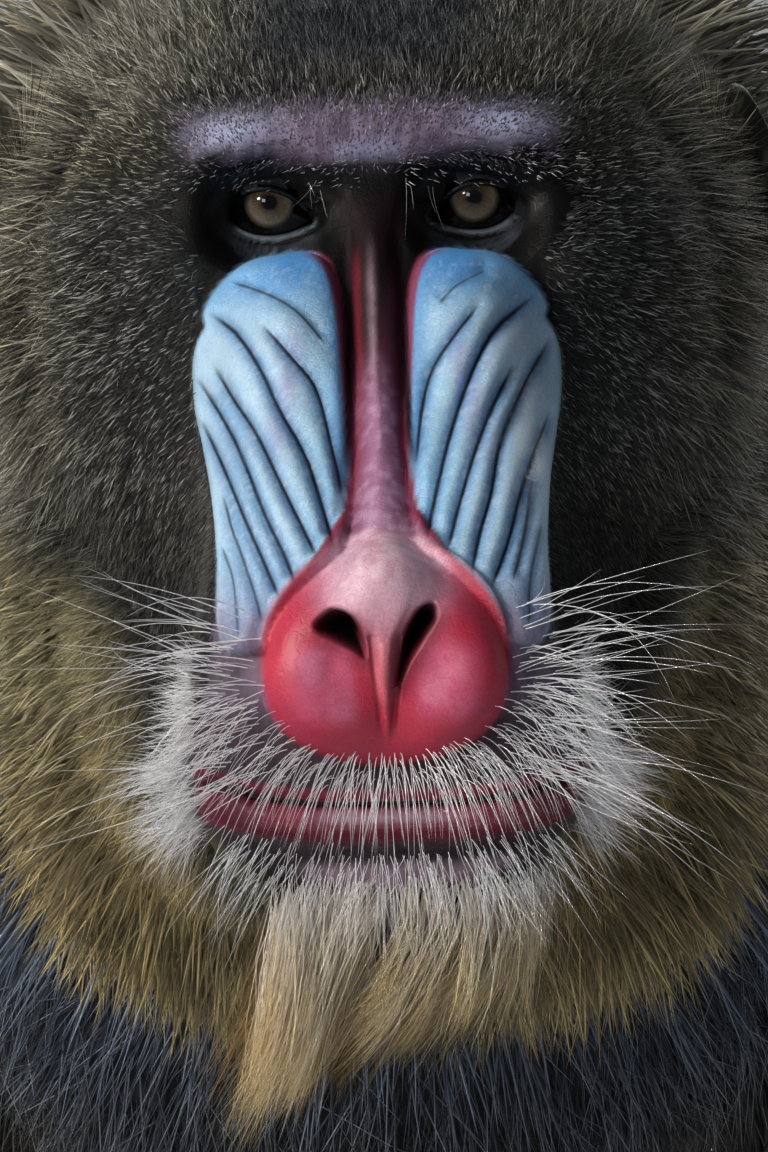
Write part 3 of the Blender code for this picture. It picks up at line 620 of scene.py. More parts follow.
@dataclass
class HeadForm:
    """The head's own surface, ring by ring from the nose to the nape."""

    eye_spacing: float = 44.0
    eye_depth: float = 8.5
    eye_radius: float = 11.0
    columns: int = 286
    rings_per_row: float = 19.0
    back_rings_per_row: float = 4.0
    face_end: float = 10.7
    under_share: float = 0.22
    flank_share: float = 0.36

    def outline_rings(self, steps: np.ndarray, columns: int) -> np.ndarray:
        """Rings at steps of the head's table, their points evenly spaced, closer over the face.

        Args:
            steps: Row numbers, not always whole.
            columns: Points in a ring, from the top round by the animal's left.

        Returns:
            Points in head millimetres.
        """
        angles = np.linspace(0, 2 * np.pi, 1201)
        rings = np.zeros((len(steps), columns, 3))
        side, rise = np.sin(angles), np.cos(angles)
        for i, (row, step) in enumerate(zip(smooth_rows(HEAD_ROWS, steps), steps)):
            ft, zt, fb, zb, half, above, below, widest = row
            power = np.where(rise >= 0, 2 / above, 2 / below)
            height = np.sign(rise) * np.abs(rise) ** power
            height = np.where(rise >= 0, height * (1 - widest), height * widest) + widest
            points = np.stack([
                np.sign(side) * np.abs(side) ** power * half,
                -(fb + (ft - fb) * height),
                zb + (zt - zb) * height,
            ], axis=1)
            open_face = smoothstep(7.0, 5.0, np.float64(step))
            corner = np.interp(step, (8.6, 9.6), (0.25, 0.60))
            under = self.under_share + (0.9 - self.under_share) * open_face
            flank = self.flank_share + (1 - self.flank_share) * open_face
            weight = under + (flank - under) * smoothstep(-0.45, -0.1, rise)
            weight += (1 - flank) * smoothstep(corner - 0.13, corner + 0.13, rise)
            run = np.linalg.norm(np.diff(points, axis=0), axis=1) * (weight[1:] + weight[:-1]) / 2
            reach = np.concatenate([[0], np.cumsum(run)])
            places = np.arange(columns) / columns * reach[-1]
            rings[i] = np.stack([np.interp(places, reach, points[:, axis]) for axis in range(3)], axis=1)
        return rings

    def shape(self, points: np.ndarray) -> None:
        """Raises or sinks the brow, eye hollows, cheekbones, swellings and nose.

        Args:
            points: Head millimetres, moved in place.
        """
        for s in (-1, 1):
            self.swell(points, (s * 32, -11, 15), (27, 24, 15), (s * 1, -6, 0))
            self.swell(points, (s * 22, -12, -2), (18, 26, 15), (s * 1, 16, 0))
            self.swell(points, (s * 42, 4, -14), (18, 26, 16), (s * 3, -5, 0))
            self.swell(points, (s * 22, -34, -34), (18, 34, 30), (0, -6, 3))
            self.swell(points, (s * 21, -58, -64), (17, 30, 26), (s * 1, -4, 2))
            self.swell(points, (s * 12, -90, -101), (17, 24, 21), (s * 1, -7, 0))
            self.swell(points, (s * 34, -62, -124), (14, 30, 20), (s * 3, -3, 0))
        self.swell(points, (0, -14, 15), (26, 24, 14), (0, -5, 0))
        self.swell(points, (0, -92, -82), (13, 24, 13), (0, -5, 3))
        self.swell(points, (0, -84, -133), (34, 24, 5), (0, 3, 0))

    @staticmethod
    def swell(points: np.ndarray, centre: tuple, reach: tuple, push: tuple) -> None:
        """Moves the points near a place: full push at the centre, none at the reach.

        Args:
            points: Head millimetres, moved in place.
            centre: The place.
            reach: How far it reaches along each axis.
            push: The move at the centre.
        """
        apart = (points - np.asarray(centre, float)) / np.asarray(reach, float)
        near = np.clip(1 - (apart**2).sum(axis=-1), 0, 1) ** 2
        points += near[..., None] * np.asarray(push, float)

    def face_rings(self) -> np.ndarray:
        """The fine rings of the face, nose to brow."""
        count = int(self.face_end * self.rings_per_row) + 1
        rings = self.outline_rings(np.linspace(0, self.face_end, count), self.columns)
        self.shape(rings)
        return rings

    def back_rings(self) -> np.ndarray:
        """The coarser rings behind the face, with half as many columns."""
        last = len(HEAD_ROWS) - 1
        count = int((last - self.face_end) * self.back_rings_per_row)
        steps = np.linspace(self.face_end, last, count + 1)[1:]
        rings = self.outline_rings(steps, self.columns)[:, ::2]
        self.shape(rings)
        return rings


@dataclass
class FaceRelief:
    """Folds, nose, nostrils, lips and lids, worked into the face's fine surface."""

    form: HeadForm
    swelling_rise: float = 1.9
    ridge_rise: float = 2.6
    pad_rise: float = 2.6
    nostril_depth: float = 9.5
    lid_thickness: float = 1.3
    opening_depth: float = 3.0

    def carve(self, rings: np.ndarray) -> np.ndarray:
        """Works the face's forms into its rings.

        Args:
            rings: The face's rings in head millimetres.

        Returns:
            The rings with the forms in them.
        """
        normals = ring_normals(rings)
        points = rings.reshape(-1, 3).copy()
        normals = normals.reshape(-1, 3)
        plane = points[:, [0, 2]]
        front = smoothstep(0.30, -0.10, normals[:, 1])
        rise = self.swellings(plane) + self.ridge(plane) + self.nose_pad(plane)
        rise += self.lips(points) + self.eye_folds(plane) + self.brow(plane)
        points += normals * (rise * front)[:, None]
        self.nostrils(points, plane)
        self.lids(points)
        return points.reshape(rings.shape)

    @staticmethod
    def brow(plane: np.ndarray) -> np.ndarray:
        """Height of the heavy bar of the brow, and the sharp fold under it.

        Args:
            plane: (across, height) of each point.

        Returns:
            Height in millimetres.
        """
        side, z = np.abs(plane[:, 0]), plane[:, 1]
        width = smoothstep(50, 38, side)
        low = np.interp(side, (0, 10, 22, 40), (1.6, 3.0, 4.6, 5.4))
        bar = 5.2 * smoothstep(low - 0.6, low + 2.4, z) * smoothstep(low + 20, low + 4, z) * width
        fold = 2.0 * np.exp(-(((z - low + 1.4) / 1.5) ** 2)) * width * smoothstep(5, 12, side)
        wrinkles = 0.28 * np.sin(z * 2.4 + 0.35 * np.sin(side * 0.4)) * np.exp(-(((z - low - 5) / 4.5) ** 2)) * width
        return bar - fold + wrinkles

    def swellings(self, plane: np.ndarray) -> np.ndarray:
        """Height of the rolls of both cheek swellings over the face.

        Args:
            plane: (across, height) of each point.

        Returns:
            Height in millimetres.
        """
        rise = np.zeros(len(plane))
        within = np.full(len(plane), -99.0)
        for side in (-1, 1):
            edge = inside_by(plane, closed_curve(mirrored(SWELLING, side), 4))
            within = np.maximum(within, edge)
        rise += self.swelling_rise * (2 * np.sqrt(np.clip(1 - (1 - np.clip((within + 1.2) / 4.2, 0, 1)) ** 2, 0, 1)) - 1)
        rise *= smoothstep(-9, -1.5, within) * 0.5 + 0.5
        rise *= smoothstep(-14, -1.5, within)
        cut = np.zeros(len(plane))
        for depth, line in GROOVES:
            gap, share = line_distance(plane, spread(line, 14))
            ends = np.clip(np.minimum(share / 0.14, (1 - share) / 0.10), 0, 1) ** 0.7
            reach = np.clip((np.sqrt(gap**2 + 0.09) - 0.3) / ROLL_REACH, 0, 1)
            cut = np.maximum(cut, depth * ends * (1 - np.sqrt(1 - (1 - reach) ** 2)))
        return rise - cut * smoothstep(-2.5, 0.5, within)

    def ridge(self, plane: np.ndarray) -> np.ndarray:
        """Height of the bare strip down the middle of the face.

        Args:
            plane: (across, height) of each point.

        Returns:
            Height in millimetres.
        """
        half = self.strip_half(plane[:, 1])
        share = np.abs(plane[:, 0]) / half
        round_top = np.clip(1 - share**2, 0, 1) ** 0.85
        height = self.ridge_rise * smoothstep(6, -8, plane[:, 1]) * smoothstep(-82, -66, plane[:, 1])
        gutter = 1.1 * np.exp(-(((np.abs(plane[:, 0]) - half - 1.2) / 1.5) ** 2)) * smoothstep(-4, -14, plane[:, 1])
        gutter *= smoothstep(-80, -70, plane[:, 1])
        return height * round_top - gutter

    @staticmethod
    def strip_half(height: np.ndarray) -> np.ndarray:
        """Half width of the strip at each height."""
        rows = np.array(STRIP, float)[::-1]
        return np.interp(height, rows[:, 0], rows[:, 1])

    def nose_pad(self, plane: np.ndarray) -> np.ndarray:
        """Height of the nose pad, its rim, its dished sides and the septum.

        Args:
            plane: (across, height) of each point.

        Returns:
            Height in millimetres.
        """
        outline = closed_curve(NOSE_PAD + mirrored(NOSE_PAD, -1)[-2:0:-1], 4)
        within = inside_by(plane, outline)
        over = smoothstep(-72, -80, plane[:, 1])
        edge = np.clip((within + 0.6) / 5.0, 0, 1)
        rise = self.pad_rise * np.sqrt(np.clip(1 - (1 - edge) ** 2, 0, 1)) * (0.25 + 0.75 * over)
        rise -= 0.8 * np.exp(-(((within + 1.4) / 1.1) ** 2)) * over
        for side in (-1, 1):
            gap = np.hypot((plane[:, 0] - side * 11.0) / 11.0, (plane[:, 1] + 98.5) / 13.0)
            rise -= 4.2 * smoothstep(1.0, 0.0, gap)
        taper = np.interp(plane[:, 1], (-112, -104, -92, -84), (0.9, 1.8, 3.4, 5.5))
        septum = np.sqrt(np.clip(1 - (plane[:, 0] / taper) ** 2, 0, 1))
        rise += 1.2 * septum * smoothstep(-115, -106, plane[:, 1]) * smoothstep(-80, -90, plane[:, 1])
        for side, depth in ((-1, 1.0), (1, 1.9)):
            slit = spread(((side * 3.4, -93), (side * 2.5, -101), (side * 1.6, -113)), 8)
            gap, share = line_distance(plane, slit)
            rise -= depth * np.exp(-((gap / 0.8) ** 2)) * smoothstep(1.0, 0.6, share)
        return rise

    def nostrils(self, points: np.ndarray, plane: np.ndarray) -> None:
        """Sinks the two nostrils back and up into the nose.

        Args:
            points: Head millimetres, moved in place.
            plane: (across, height) before any form was worked in.
        """
        ahead = points[:, 1] < -60
        for side, shape in ((-1, NOSTRIL_WIDE), (1, NOSTRIL_LONG)):
            within = inside_by(plane, closed_curve(mirrored(shape, side), 4))
            sunk = smoothstep(-0.6, 2.4, within) * ahead
            points[:, 1] += self.nostril_depth * sunk
            points[:, 2] += 0.35 * self.nostril_depth * sunk**2

    @staticmethod
    def lips(points: np.ndarray) -> np.ndarray:
        """Height of both lips and depth of the line between them.

        Args:
            points: Head millimetres.

        Returns:
            Height in millimetres.
        """
        plane = points[:, [0, 2]]
        gap, share = line_distance(plane, spread(MOUTH_LINE, 24))
        level = np.interp(plane[:, 0], [x for x, _ in MOUTH_LINE], [z for _, z in MOUTH_LINE])
        above = plane[:, 1] - level
        ends = smoothstep(0, 0.07, share) * smoothstep(1, 0.93, share)
        ahead = smoothstep(-30, -48, points[:, 1])
        slit = -3.4 * (1 - np.sqrt(np.clip(1 - (1 - np.clip(gap / 2.6, 0, 1)) ** 2, 0, 1)))
        upper = 1.4 * np.exp(-(((above - 3.0) / 2.2) ** 2))
        lower = 2.2 * np.exp(-(((above + 3.4) / 2.6) ** 2)) * smoothstep(38, 24, np.abs(plane[:, 0]))
        under = -1.2 * np.exp(-(((above + 8.5) / 1.8) ** 2)) * smoothstep(34, 20, np.abs(plane[:, 0]))
        near = smoothstep(16, 9, np.abs(above))
        return (slit * (0.3 + 0.7 * ends) + upper + lower + under) * ahead * near

    @staticmethod
    def eye_folds(plane: np.ndarray) -> np.ndarray:
        """Height of the fine folds under the eyes and over the nose root.

        Args:
            plane: (across, height) of each point.

        Returns:
            Height in millimetres.
        """
        rise = np.zeros(len(plane))
        for side in (-1, 1):
            for drop, depth in EYE_FOLDS:
                gap, share = line_distance(plane, eye_fold(side, drop))
                rise -= depth * np.exp(-((gap / 0.6) ** 2)) * np.sin(np.pi * np.clip(share, 0, 1)) ** 0.5
        return rise

    def lids(self, points: np.ndarray) -> None:
        """Wraps the skin round the front of each eyeball and opens it between the lids.

        Args:
            points: Head millimetres, moved in place.
        """
        for side in (-1, 1):
            centre = np.array((side * self.form.eye_spacing / 2, self.form.eye_depth, 0.0))
            plane = points[:, [0, 2]]
            around = np.hypot(plane[:, 0] - centre[0], plane[:, 1] - centre[2])
            ahead = points[:, 1] < 30
            shell = self.form.eye_radius + self.lid_thickness
            cover = centre[1] - np.sqrt(np.clip(shell**2 - around**2, 0, None))
            blend = smoothstep(shell, shell - 3.0, around) * ahead
            over = np.minimum(points[:, 1], cover)
            points[:, 1] += (over - points[:, 1]) * blend
            within = inside_by(plane, closed_curve(mirrored(LID_OPENING, side), 5))
            sunk = smoothstep(-0.15, 0.75, within) * ahead
            points[:, 1] += (centre[1] + self.opening_depth - points[:, 1]) * sunk


def brow_top(side: np.ndarray) -> np.ndarray:
    """Where the lilac skin of the brow ends upward.

    Args:
        side: How far off the middle of the face, in millimetres.

    Returns:
        Heights in millimetres.
    """
    return np.interp(side, (0, 12, 24, 34, 40, 44), (27.5, 27.0, 24.5, 22.0, 19.0, 15.0))


def eye_fold(side: int, drop: float) -> np.ndarray:
    """The line of one fold under an eye.

    Args:
        side: Which eye, -1 or 1.
        drop: How far it lies below the lid, in millimetres.

    Returns:
        Its points, across and height.
    """
    return spread(((side * 11, -5.5 - drop), (side * 20, -8.4 - drop), (side * 28, -6.6 - drop), (side * 33, -1.5 - drop)), 12)


def ring_normals(rings: np.ndarray) -> np.ndarray:
    """Outward normals of a ring surface.

    Args:
        rings: Rows of points, nose to back, each from the top round by +X.

    Returns:
        One normal for each point.
    """
    along = np.gradient(rings, axis=0)
    around = np.roll(rings, -1, axis=1) - np.roll(rings, 1, axis=1)
    return unit(np.cross(around, along))


@dataclass
class Form:
    """A ring surface on which a coat grows: its rings, whose rows and columns give its unwrap."""

    rings: np.ndarray

    def __post_init__(self) -> None:
        """Works out the area and direction of each face."""
        rings = self.rings
        after = np.roll(rings, -1, axis=1)
        self.corner = (rings[:-1], after[:-1], after[1:], rings[1:])
        a, b, c, d = self.corner
        self.area = np.linalg.norm(np.cross(c - a, d - b), axis=-1) / 2

    def scatter(self, count: int, density: np.ndarray, rng: np.random.Generator) -> tuple:
        """Places spread over the surface.

        Args:
            count: How many.
            density: How close together, for each face.
            rng: The random numbers.

        Returns:
            Points, directions towards the last ring, and places on the unwrap.
        """
        chance = (self.area * density).ravel()
        pick = rng.choice(len(chance), count, p=chance / chance.sum())
        i, j = np.unravel_index(pick, self.area.shape)
        u, v = rng.random(count), rng.random(count)
        a, b, c, d = (corner[i, j] for corner in self.corner)
        s, t = u[:, None], v[:, None]
        points = (a * (1 - s) + b * s) * (1 - t) + (d * (1 - s) + c * s) * t
        along = unit((d - a) * (1 - s) + (c - b) * s)
        rows, sides = self.area.shape
        return points, along, np.stack([(j + u) / sides, (i + v) / rows], axis=1)


@dataclass
class Hairs:
    """Hairs or tufts to be made: one row of each array for each."""

    roots: np.ndarray
    normals: np.ndarray
    lie: np.ndarray
    length: np.ndarray
    width: np.ndarray
    lift: np.ndarray
    bend: np.ndarray
    root_colour: np.ndarray
    tip_colour: np.ndarray
    patch: np.ndarray


class Cut(Enum):
    """How many lengths a hair is made of: share along it, half width, and its colour share."""

    SPIKE = ((0.0, 1.0, 0.0), (1.0, 0.0, 1.0))
    NEEDLE = ((0.0, 0.0, 0.0), (0.55, 1.0, 0.30), (1.0, 0.0, 1.0))
    BLADE = ((0.0, 0.70, 0.0), (0.55, 0.95, 0.30), (1.0, 0.0, 1.0))
    STRAND = ((0.0, 0.80, 0.0), (0.33, 1.0, 0.35), (0.70, 0.75, 0.75), (1.0, 0.0, 1.0))


@dataclass
class Coat:
    """A piece of the coat: closed hairs joined in one mesh."""

    name: str
    cut: Cut
    patch_size: float = 0.003

    def build(self, hairs: Hairs, finish: bpy.types.Material) -> bpy.types.Object:
        """Makes the piece.

        Args:
            hairs: Where and how each hair grows.
            finish: Its material.

        Returns:
            The object, with its colours and its unwrap.
        """
        count = len(hairs.roots)
        normal = unit(hairs.normals)
        flat = unit(hairs.lie - normal * (hairs.lie * normal).sum(axis=1, keepdims=True))
        lift = hairs.lift[:, None]
        heading = flat * np.cos(lift) + normal * np.sin(lift)
        side = unit(np.cross(normal, heading))
        up = np.cross(heading, side)
        start = hairs.roots - normal * np.minimum(hairs.length * 0.07, 0.0008)[:, None]
        long, wide = hairs.length[:, None], hairs.width[:, None] / 2
        corners = [(-1.0, 0.0), (1.0, 0.0), (0.0, 0.9)]
        points, colours, patches, rings = [], [], [], []
        for share, swell, shade in self.cut.value:
            middle = start + heading * long * share + hairs.bend * share**2
            tone = hairs.root_colour + (hairs.tip_colour - hairs.root_colour) * shade
            spots = corners if swell else [(0.0, 0.0)]
            rings.append((len(points), len(spots)))
            for a, b in spots:
                points.append(middle + (side * a + up * b) * wide * swell)
                colours.append(tone)
                patches.append(hairs.patch + self.patch_size * np.array(((a + 1) / 2, share)))
        faces = self.faces(rings, len(points), count)
        made = mesh_object(self.name, np.stack(points, axis=1).reshape(-1, 3), [faces], False)
        tint(made, "coat", np.stack(colours, axis=1).reshape(-1, 3))
        layer = made.data.uv_layers.new(name="OFBake")
        unwrap = np.stack(patches, axis=1).reshape(-1, 2)[faces.ravel()]
        layer.data.foreach_set("uv", unwrap.astype(np.float32).ravel())
        made.data.materials.append(finish)
        return made

    @staticmethod
    def faces(rings: list, per_hair: int, count: int) -> np.ndarray:
        """Triangles of all hairs.

        Args:
            rings: First point and number of points of each ring of one hair.
            per_hair: Points in one hair.
            count: How many hairs.

        Returns:
            Point numbers, three a row.
        """
        one = []
        for (low, a), (high, b) in zip(rings, rings[1:]):
            for i in range(3):
                j = (i + 1) % 3
                if a == 1:
                    one.append((low, high + j, high + i))
                elif b == 1:
                    one.append((low + i, low + j, high))
                else:
                    one += [(low + i, low + j, high + j), (low + i, high + j, high + i)]
        if rings[0][1] == 3:
            one.append((rings[0][0] + 2, rings[0][0] + 1, rings[0][0]))
        return (np.array(one)[None] + (np.arange(count) * per_hair)[:, None, None]).reshape(-1, 3)


@dataclass
class Markings:
    """The animal's colours by place, the same on its skin and its coat."""

    head: HeadFrame
    form: HeadForm

    def face_skin(self, points: np.ndarray) -> np.ndarray:
        """Colour of the bare skin of the face.

        Args:
            points: Head millimetres.

        Returns:
            Linear colours.
        """
        plane = points[:, [0, 2]]
        x, z = plane.T
        side = np.abs(x)
        patch = mottle(points, 5.0, 1)
        fine = mottle(points, 1.6, 2)
        grain = mottle(points, 0.7, 3)
        streak = mottle(points * (1.6, 0.4, 0.35), 1.0, 5)
        coat = Layers(len(points), "#121111")
        coat.paint("#3b363b", smoothstep(-76, -92, z) * 0.9)
        coat.paint("#7b6f80", smoothstep(-80, -90, z) * smoothstep(-122, -106, z) * smoothstep(43, 33, side) * (0.30 + 0.55 * streak))
        coat.paint("#4b3c45", smoothstep(-104, -113, z) * 0.8)
        self.brow(coat, side, z, patch, fine)
        self.eye_region(coat, side, z, fine)
        self.swellings(coat, plane, patch, fine)
        self.strip(coat, x, z, patch, fine)
        self.nose(coat, plane, patch, fine, grain)
        self.mouth(coat, points, patch)
        coat.rgb *= (0.92 + 0.16 * grain)[:, None]
        return coat.rgb

    @staticmethod
    def brow(coat: Layers, side: np.ndarray, z: np.ndarray, patch: np.ndarray, fine: np.ndarray) -> None:
        """Lilac skin of the brow, with painted blue-white highlights at its ends, over black skin under it that is
        darkened further as painted shade of the brow bar.
        """
        low = np.interp(side, (0, 10, 22, 44), (7.4, 8.2, 9.8, 12.0))
        high = brow_top(side)
        cover = smoothstep(low - 0.8, low + 2.4, z) * smoothstep(high + 2.0, high - 5.0, z) * smoothstep(46, 37, side)
        coat.paint("#675a72", cover * (0.80 + 0.20 * patch))
        coat.paint("#9789a4", cover * smoothstep(0.35, 0.75, fine) * 0.75)
        # Painted highlights: blue-white patches at both ends of the brow.
        coat.paint("#bcc6ea", cover * np.exp(-(((side - 30) / 8.5) ** 2) - ((z - 16.5) / 3.2) ** 2) * 0.9)
        coat.paint("#979bbd", cover * np.exp(-((side / 7.0) ** 2) - ((z - 10.5) / 2.6) ** 2) * (0.4 + 0.6 * fine))
        coat.paint("#584858", cover * np.exp(-(((side - 15) / 8) ** 2) - ((z - 12.0) / 3.0) ** 2) * 0.45)
        # Black skin under the brow bar, darkened further as painted shade of the bar.
        coat.paint("#060506", smoothstep(low + 1.6, low - 1.0, z) * smoothstep(-2, 2, z) * smoothstep(58, 48, side))

    @staticmethod
    def eye_region(coat: Layers, side: np.ndarray, z: np.ndarray, fine: np.ndarray) -> None:
        """Black skin round the eyes, darkened further as painted shade under the brow, with painted highlights on the
        folds under them and along the wet rims of the lower lids.
        """
        eye = np.hypot((side - 23) / 24.0, (z + 1.0) / np.where(z > -1, 7.0, 12.5))
        # Black skin of the eye hollows, darkened further as painted shade under the brow.
        coat.paint("#050506", smoothstep(1.3, 0.95, eye))
        root = smoothstep(16, 11, side) * smoothstep(7.5, 5, z) * smoothstep(-20, -10, z)
        coat.paint("#030304", root)
        # Painted highlights: pale lines on the lit ridges between the folds under each eye.
        for drop, _ in EYE_FOLDS:
            gap, share = line_distance(np.stack([side, z], axis=1), eye_fold(1, drop + 0.8))
            fold_highlight = smoothstep(0.75, 0.15, gap) * np.sin(np.pi * np.clip(share, 0, 1)) ** 0.5
            coat.paint("#4a505b", fold_highlight * (0.3 + 0.7 * fine) * 0.7)
        # Painted highlight: a pale line along the wet rim of each lower lid.
        lid = np.abs(inside_by(np.stack([side, z], axis=1), closed_curve(LID_OPENING, 5)))
        coat.paint("#7c8592", smoothstep(0.9, 0.2, lid) * smoothstep(-2.5, -5.5, z) * smoothstep(34, 29, side) * 0.75)

    def swellings(self, coat: Layers, plane: np.ndarray, patch: np.ndarray, fine: np.ndarray) -> None:
        """Blue rolled skin of the two cheek swellings, with painted shade along its grooves, painted glints on its
        rolls, and a red inner rim.
        """
        x, z = plane.T
        side = np.abs(x)
        within = np.full(len(plane), -99.0)
        for s in (-1, 1):
            within = np.maximum(within, inside_by(plane, closed_curve(mirrored(SWELLING, s), 4)))
        blue = smoothstep(-1.3, 0.1, within)
        coat.paint("#aedaf6", blue)
        top = smoothstep(-29, -13, z - 0.25 * (20 - side))
        coat.paint("#4598e2", blue * top * (0.55 + 0.45 * smoothstep(30, 14, side)))
        inner = smoothstep(5.5, 1.0, within) * smoothstep(20, 14, side) * smoothstep(-72, -50, z)
        coat.paint("#5b9bd8", blue * inner * 0.75)
        coat.paint("#c2def6", blue * smoothstep(13, 21, side) * smoothstep(-88, -68, z) * smoothstep(-18, -30, z) * (0.35 + 0.5 * patch))
        violet = np.exp(-(((side - 18.5 + 0.20 * (z + 38)) / 2.6) ** 2)) * smoothstep(-58, -48, z) * smoothstep(-24, -32, z)
        coat.paint("#a39ad0", blue * violet * (0.30 + 0.45 * fine))
        foot = smoothstep(-72, -90, z)
        coat.paint("#a5accb", blue * foot * 0.9)
        coat.paint("#7d7793", blue * smoothstep(-82, -94, z) * (0.5 + 0.5 * fine))
        # Painted shade: darker blue along each groove, deepest in its middle, that rounds the rolls.
        for depth, line in GROOVES:
            gap, share = line_distance(plane, spread(line, 14))
            ends = np.clip(np.minimum(share / 0.12, (1 - share) / 0.08), 0, 1)
            weight = blue * ends * min(1.0, depth / 2.0)
            coat.paint("#4f93cf", weight * smoothstep(3.0, 0.8, gap) * 0.55)
            coat.paint("#24558f", weight * smoothstep(1.5, 0.2, gap) * 0.60)
        rim = smoothstep(-2.0, -1.0, within) * smoothstep(1.0, 0.0, within) * smoothstep(17, 12, side)
        rim *= smoothstep(-9, -13, z) * smoothstep(-58, -40, z)
        coat.paint("#913a58", rim * 0.9)
        # Painted glints: fine white flecks that stand for the sparkle of the moist swellings.
        glints = smoothstep(0.60, 0.82, mottle(np.c_[plane, np.zeros(len(plane))], 0.8, 31))
        coat.paint("#e4f2fb", blue * glints * smoothstep(1.0, 3.0, within) * smoothstep(-90, -76, z) * 0.26)

    @staticmethod
    def strip(coat: Layers, x: np.ndarray, z: np.ndarray, patch: np.ndarray, fine: np.ndarray) -> None:
        """The bare strip: black between the eyes, wine red, then lilac as it widens to the nose."""
        half = FaceRelief.strip_half(z)
        side = np.abs(x)
        down = smoothstep(5, -4, z) * smoothstep(-84, -74, z)
        gutter = smoothstep(half + 2.6, half + 1.4, side) * down * smoothstep(-62, -50, z)
        coat.paint("#1b1013", gutter)
        body = smoothstep(half + 0.9, half - 0.3, side) * smoothstep(3, -5, z) * smoothstep(-90, -76, z)
        coat.paint("#1c1014", body)
        coat.paint("#7a2a42", body * smoothstep(-26, -48, z))
        flank = np.exp(-(((x + 3.7) / 0.9) ** 2)) * smoothstep(-8, -16, z) * smoothstep(-62, -50, z)
        coat.paint("#7c2638", body * flank * 0.8)
        coat.paint("#7c2a40", body * np.exp(-(((x - 1.6) / 0.9) ** 2)) * smoothstep(-18, -34, z) * 0.6)
        shine = np.exp(-(((x + 0.6) / (0.9 + 0.25 * half * smoothstep(-40, -66, z))) ** 2))
        coat.paint("#b496a4", body * shine * smoothstep(-6, -20, z) * (0.40 + 0.35 * fine))
        wide = np.exp(-((x / (0.66 * half)) ** 2)) * smoothstep(-30, -48, z)
        coat.paint("#b07da3", body * wide * (0.65 + 0.35 * patch))
        coat.paint("#cfaed0", body * wide * smoothstep(0.42, 0.8, fine) * 0.7)
        coat.paint("#8a2c46", body * smoothstep(half - 2.0, half - 0.4, side) * smoothstep(-44, -56, z) * 0.85)

    @staticmethod
    def nose(coat: Layers, plane: np.ndarray, patch: np.ndarray, fine: np.ndarray, grain: np.ndarray) -> None:
        """Scarlet nose pad, pinker on its plates with partly painted highlights there, lilac where the strip runs into
        it, with painted pale highlights at its top and painted shade in and round its nostrils.
        """
        x, z = plane.T
        side = np.abs(x)
        nose = inside_by(plane, closed_curve(NOSE_PAD + mirrored(NOSE_PAD, -1)[-2:0:-1], 4))
        coat.paint("#8d7791", smoothstep(-5.5, -1.5, nose) * smoothstep(-84, -90, z) * smoothstep(-112, -104, z) * (0.3 + 0.5 * fine))
        pad = smoothstep(-1.6, 0.8, nose)
        coat.paint("#c6334f", pad)
        flare = smoothstep(-91, -82, z) * smoothstep(21, 10, side)
        coat.paint("#d284a0", pad * flare)
        coat.paint("#d3a9c6", pad * smoothstep(-90, -78, z) * smoothstep(16, 5, side) * (0.65 + 0.35 * patch))
        # Painted highlights: pale flecks where the bridge meets the nose.
        coat.paint("#e2c6da", pad * smoothstep(-88, -80, z) * smoothstep(-70, -77, z) * smoothstep(12, 5, side) * fine * 0.7)
        coat.paint("#cf8299", pad * smoothstep(6.5, 3.0, side) * smoothstep(-104, -90, z) * 0.85)
        # Pinker skin of the plates, its paler patches partly painted highlight.
        plate = smoothstep(4.6, 8.5, side) * smoothstep(22.5, 15.5, side) * smoothstep(-91, -96, z + 0.25 * (side - 10)) * smoothstep(-113, -106, z)
        coat.paint("#d9668a", pad * plate * (0.65 + 0.35 * fine))
        coat.paint("#e58fae", pad * plate * smoothstep(0.45, 0.85, patch) * 0.5)
        coat.paint("#d8828f", pad * smoothstep(3.6, 1.6, side) * smoothstep(-111, -101, z) * 0.6)
        coat.paint("#d0454f", pad * smoothstep(3.4, 1.4, nose) * smoothstep(-82, -90, z) * smoothstep(-104, -96, z) * 0.4)
        coat.paint("#b3254a", pad * smoothstep(5.0, 2.0, nose) * smoothstep(-102, -108, z) * 0.7)
        coat.paint("#93253f", pad * smoothstep(0.62, 0.9, grain) * 0.30)
        saddle = smoothstep(-3.0, 0.5, nose) * smoothstep(-97, -86, z) * smoothstep(16, 6, side)
        coat.paint("#ddb0c4", saddle * (0.55 + 0.35 * patch))
        # Painted highlights: pale flecks at the top of the pale saddle.
        coat.paint("#efd6e4", saddle * smoothstep(-86, -80, z) * smoothstep(0.4, 0.8, fine) * 0.6)
        # Round each nostril, darker crimson that is partly painted shade; inside it, dark red-brown skin, and black
        # painted shade deep in the hole.
        for s, shape in ((-1, NOSTRIL_WIDE), (1, NOSTRIL_LONG)):
            hole = inside_by(plane, closed_curve(mirrored(shape, s), 4))
            coat.paint("#8a1f38", pad * smoothstep(-4.2, -0.6, hole) * smoothstep(-84, -92, z) * 0.6)
            coat.paint("#4a0d18", smoothstep(-1.2, 0.4, hole) * 0.85)
            coat.paint("#080203", smoothstep(-0.2, 1.3, hole) * smoothstep(-106, -98, z))

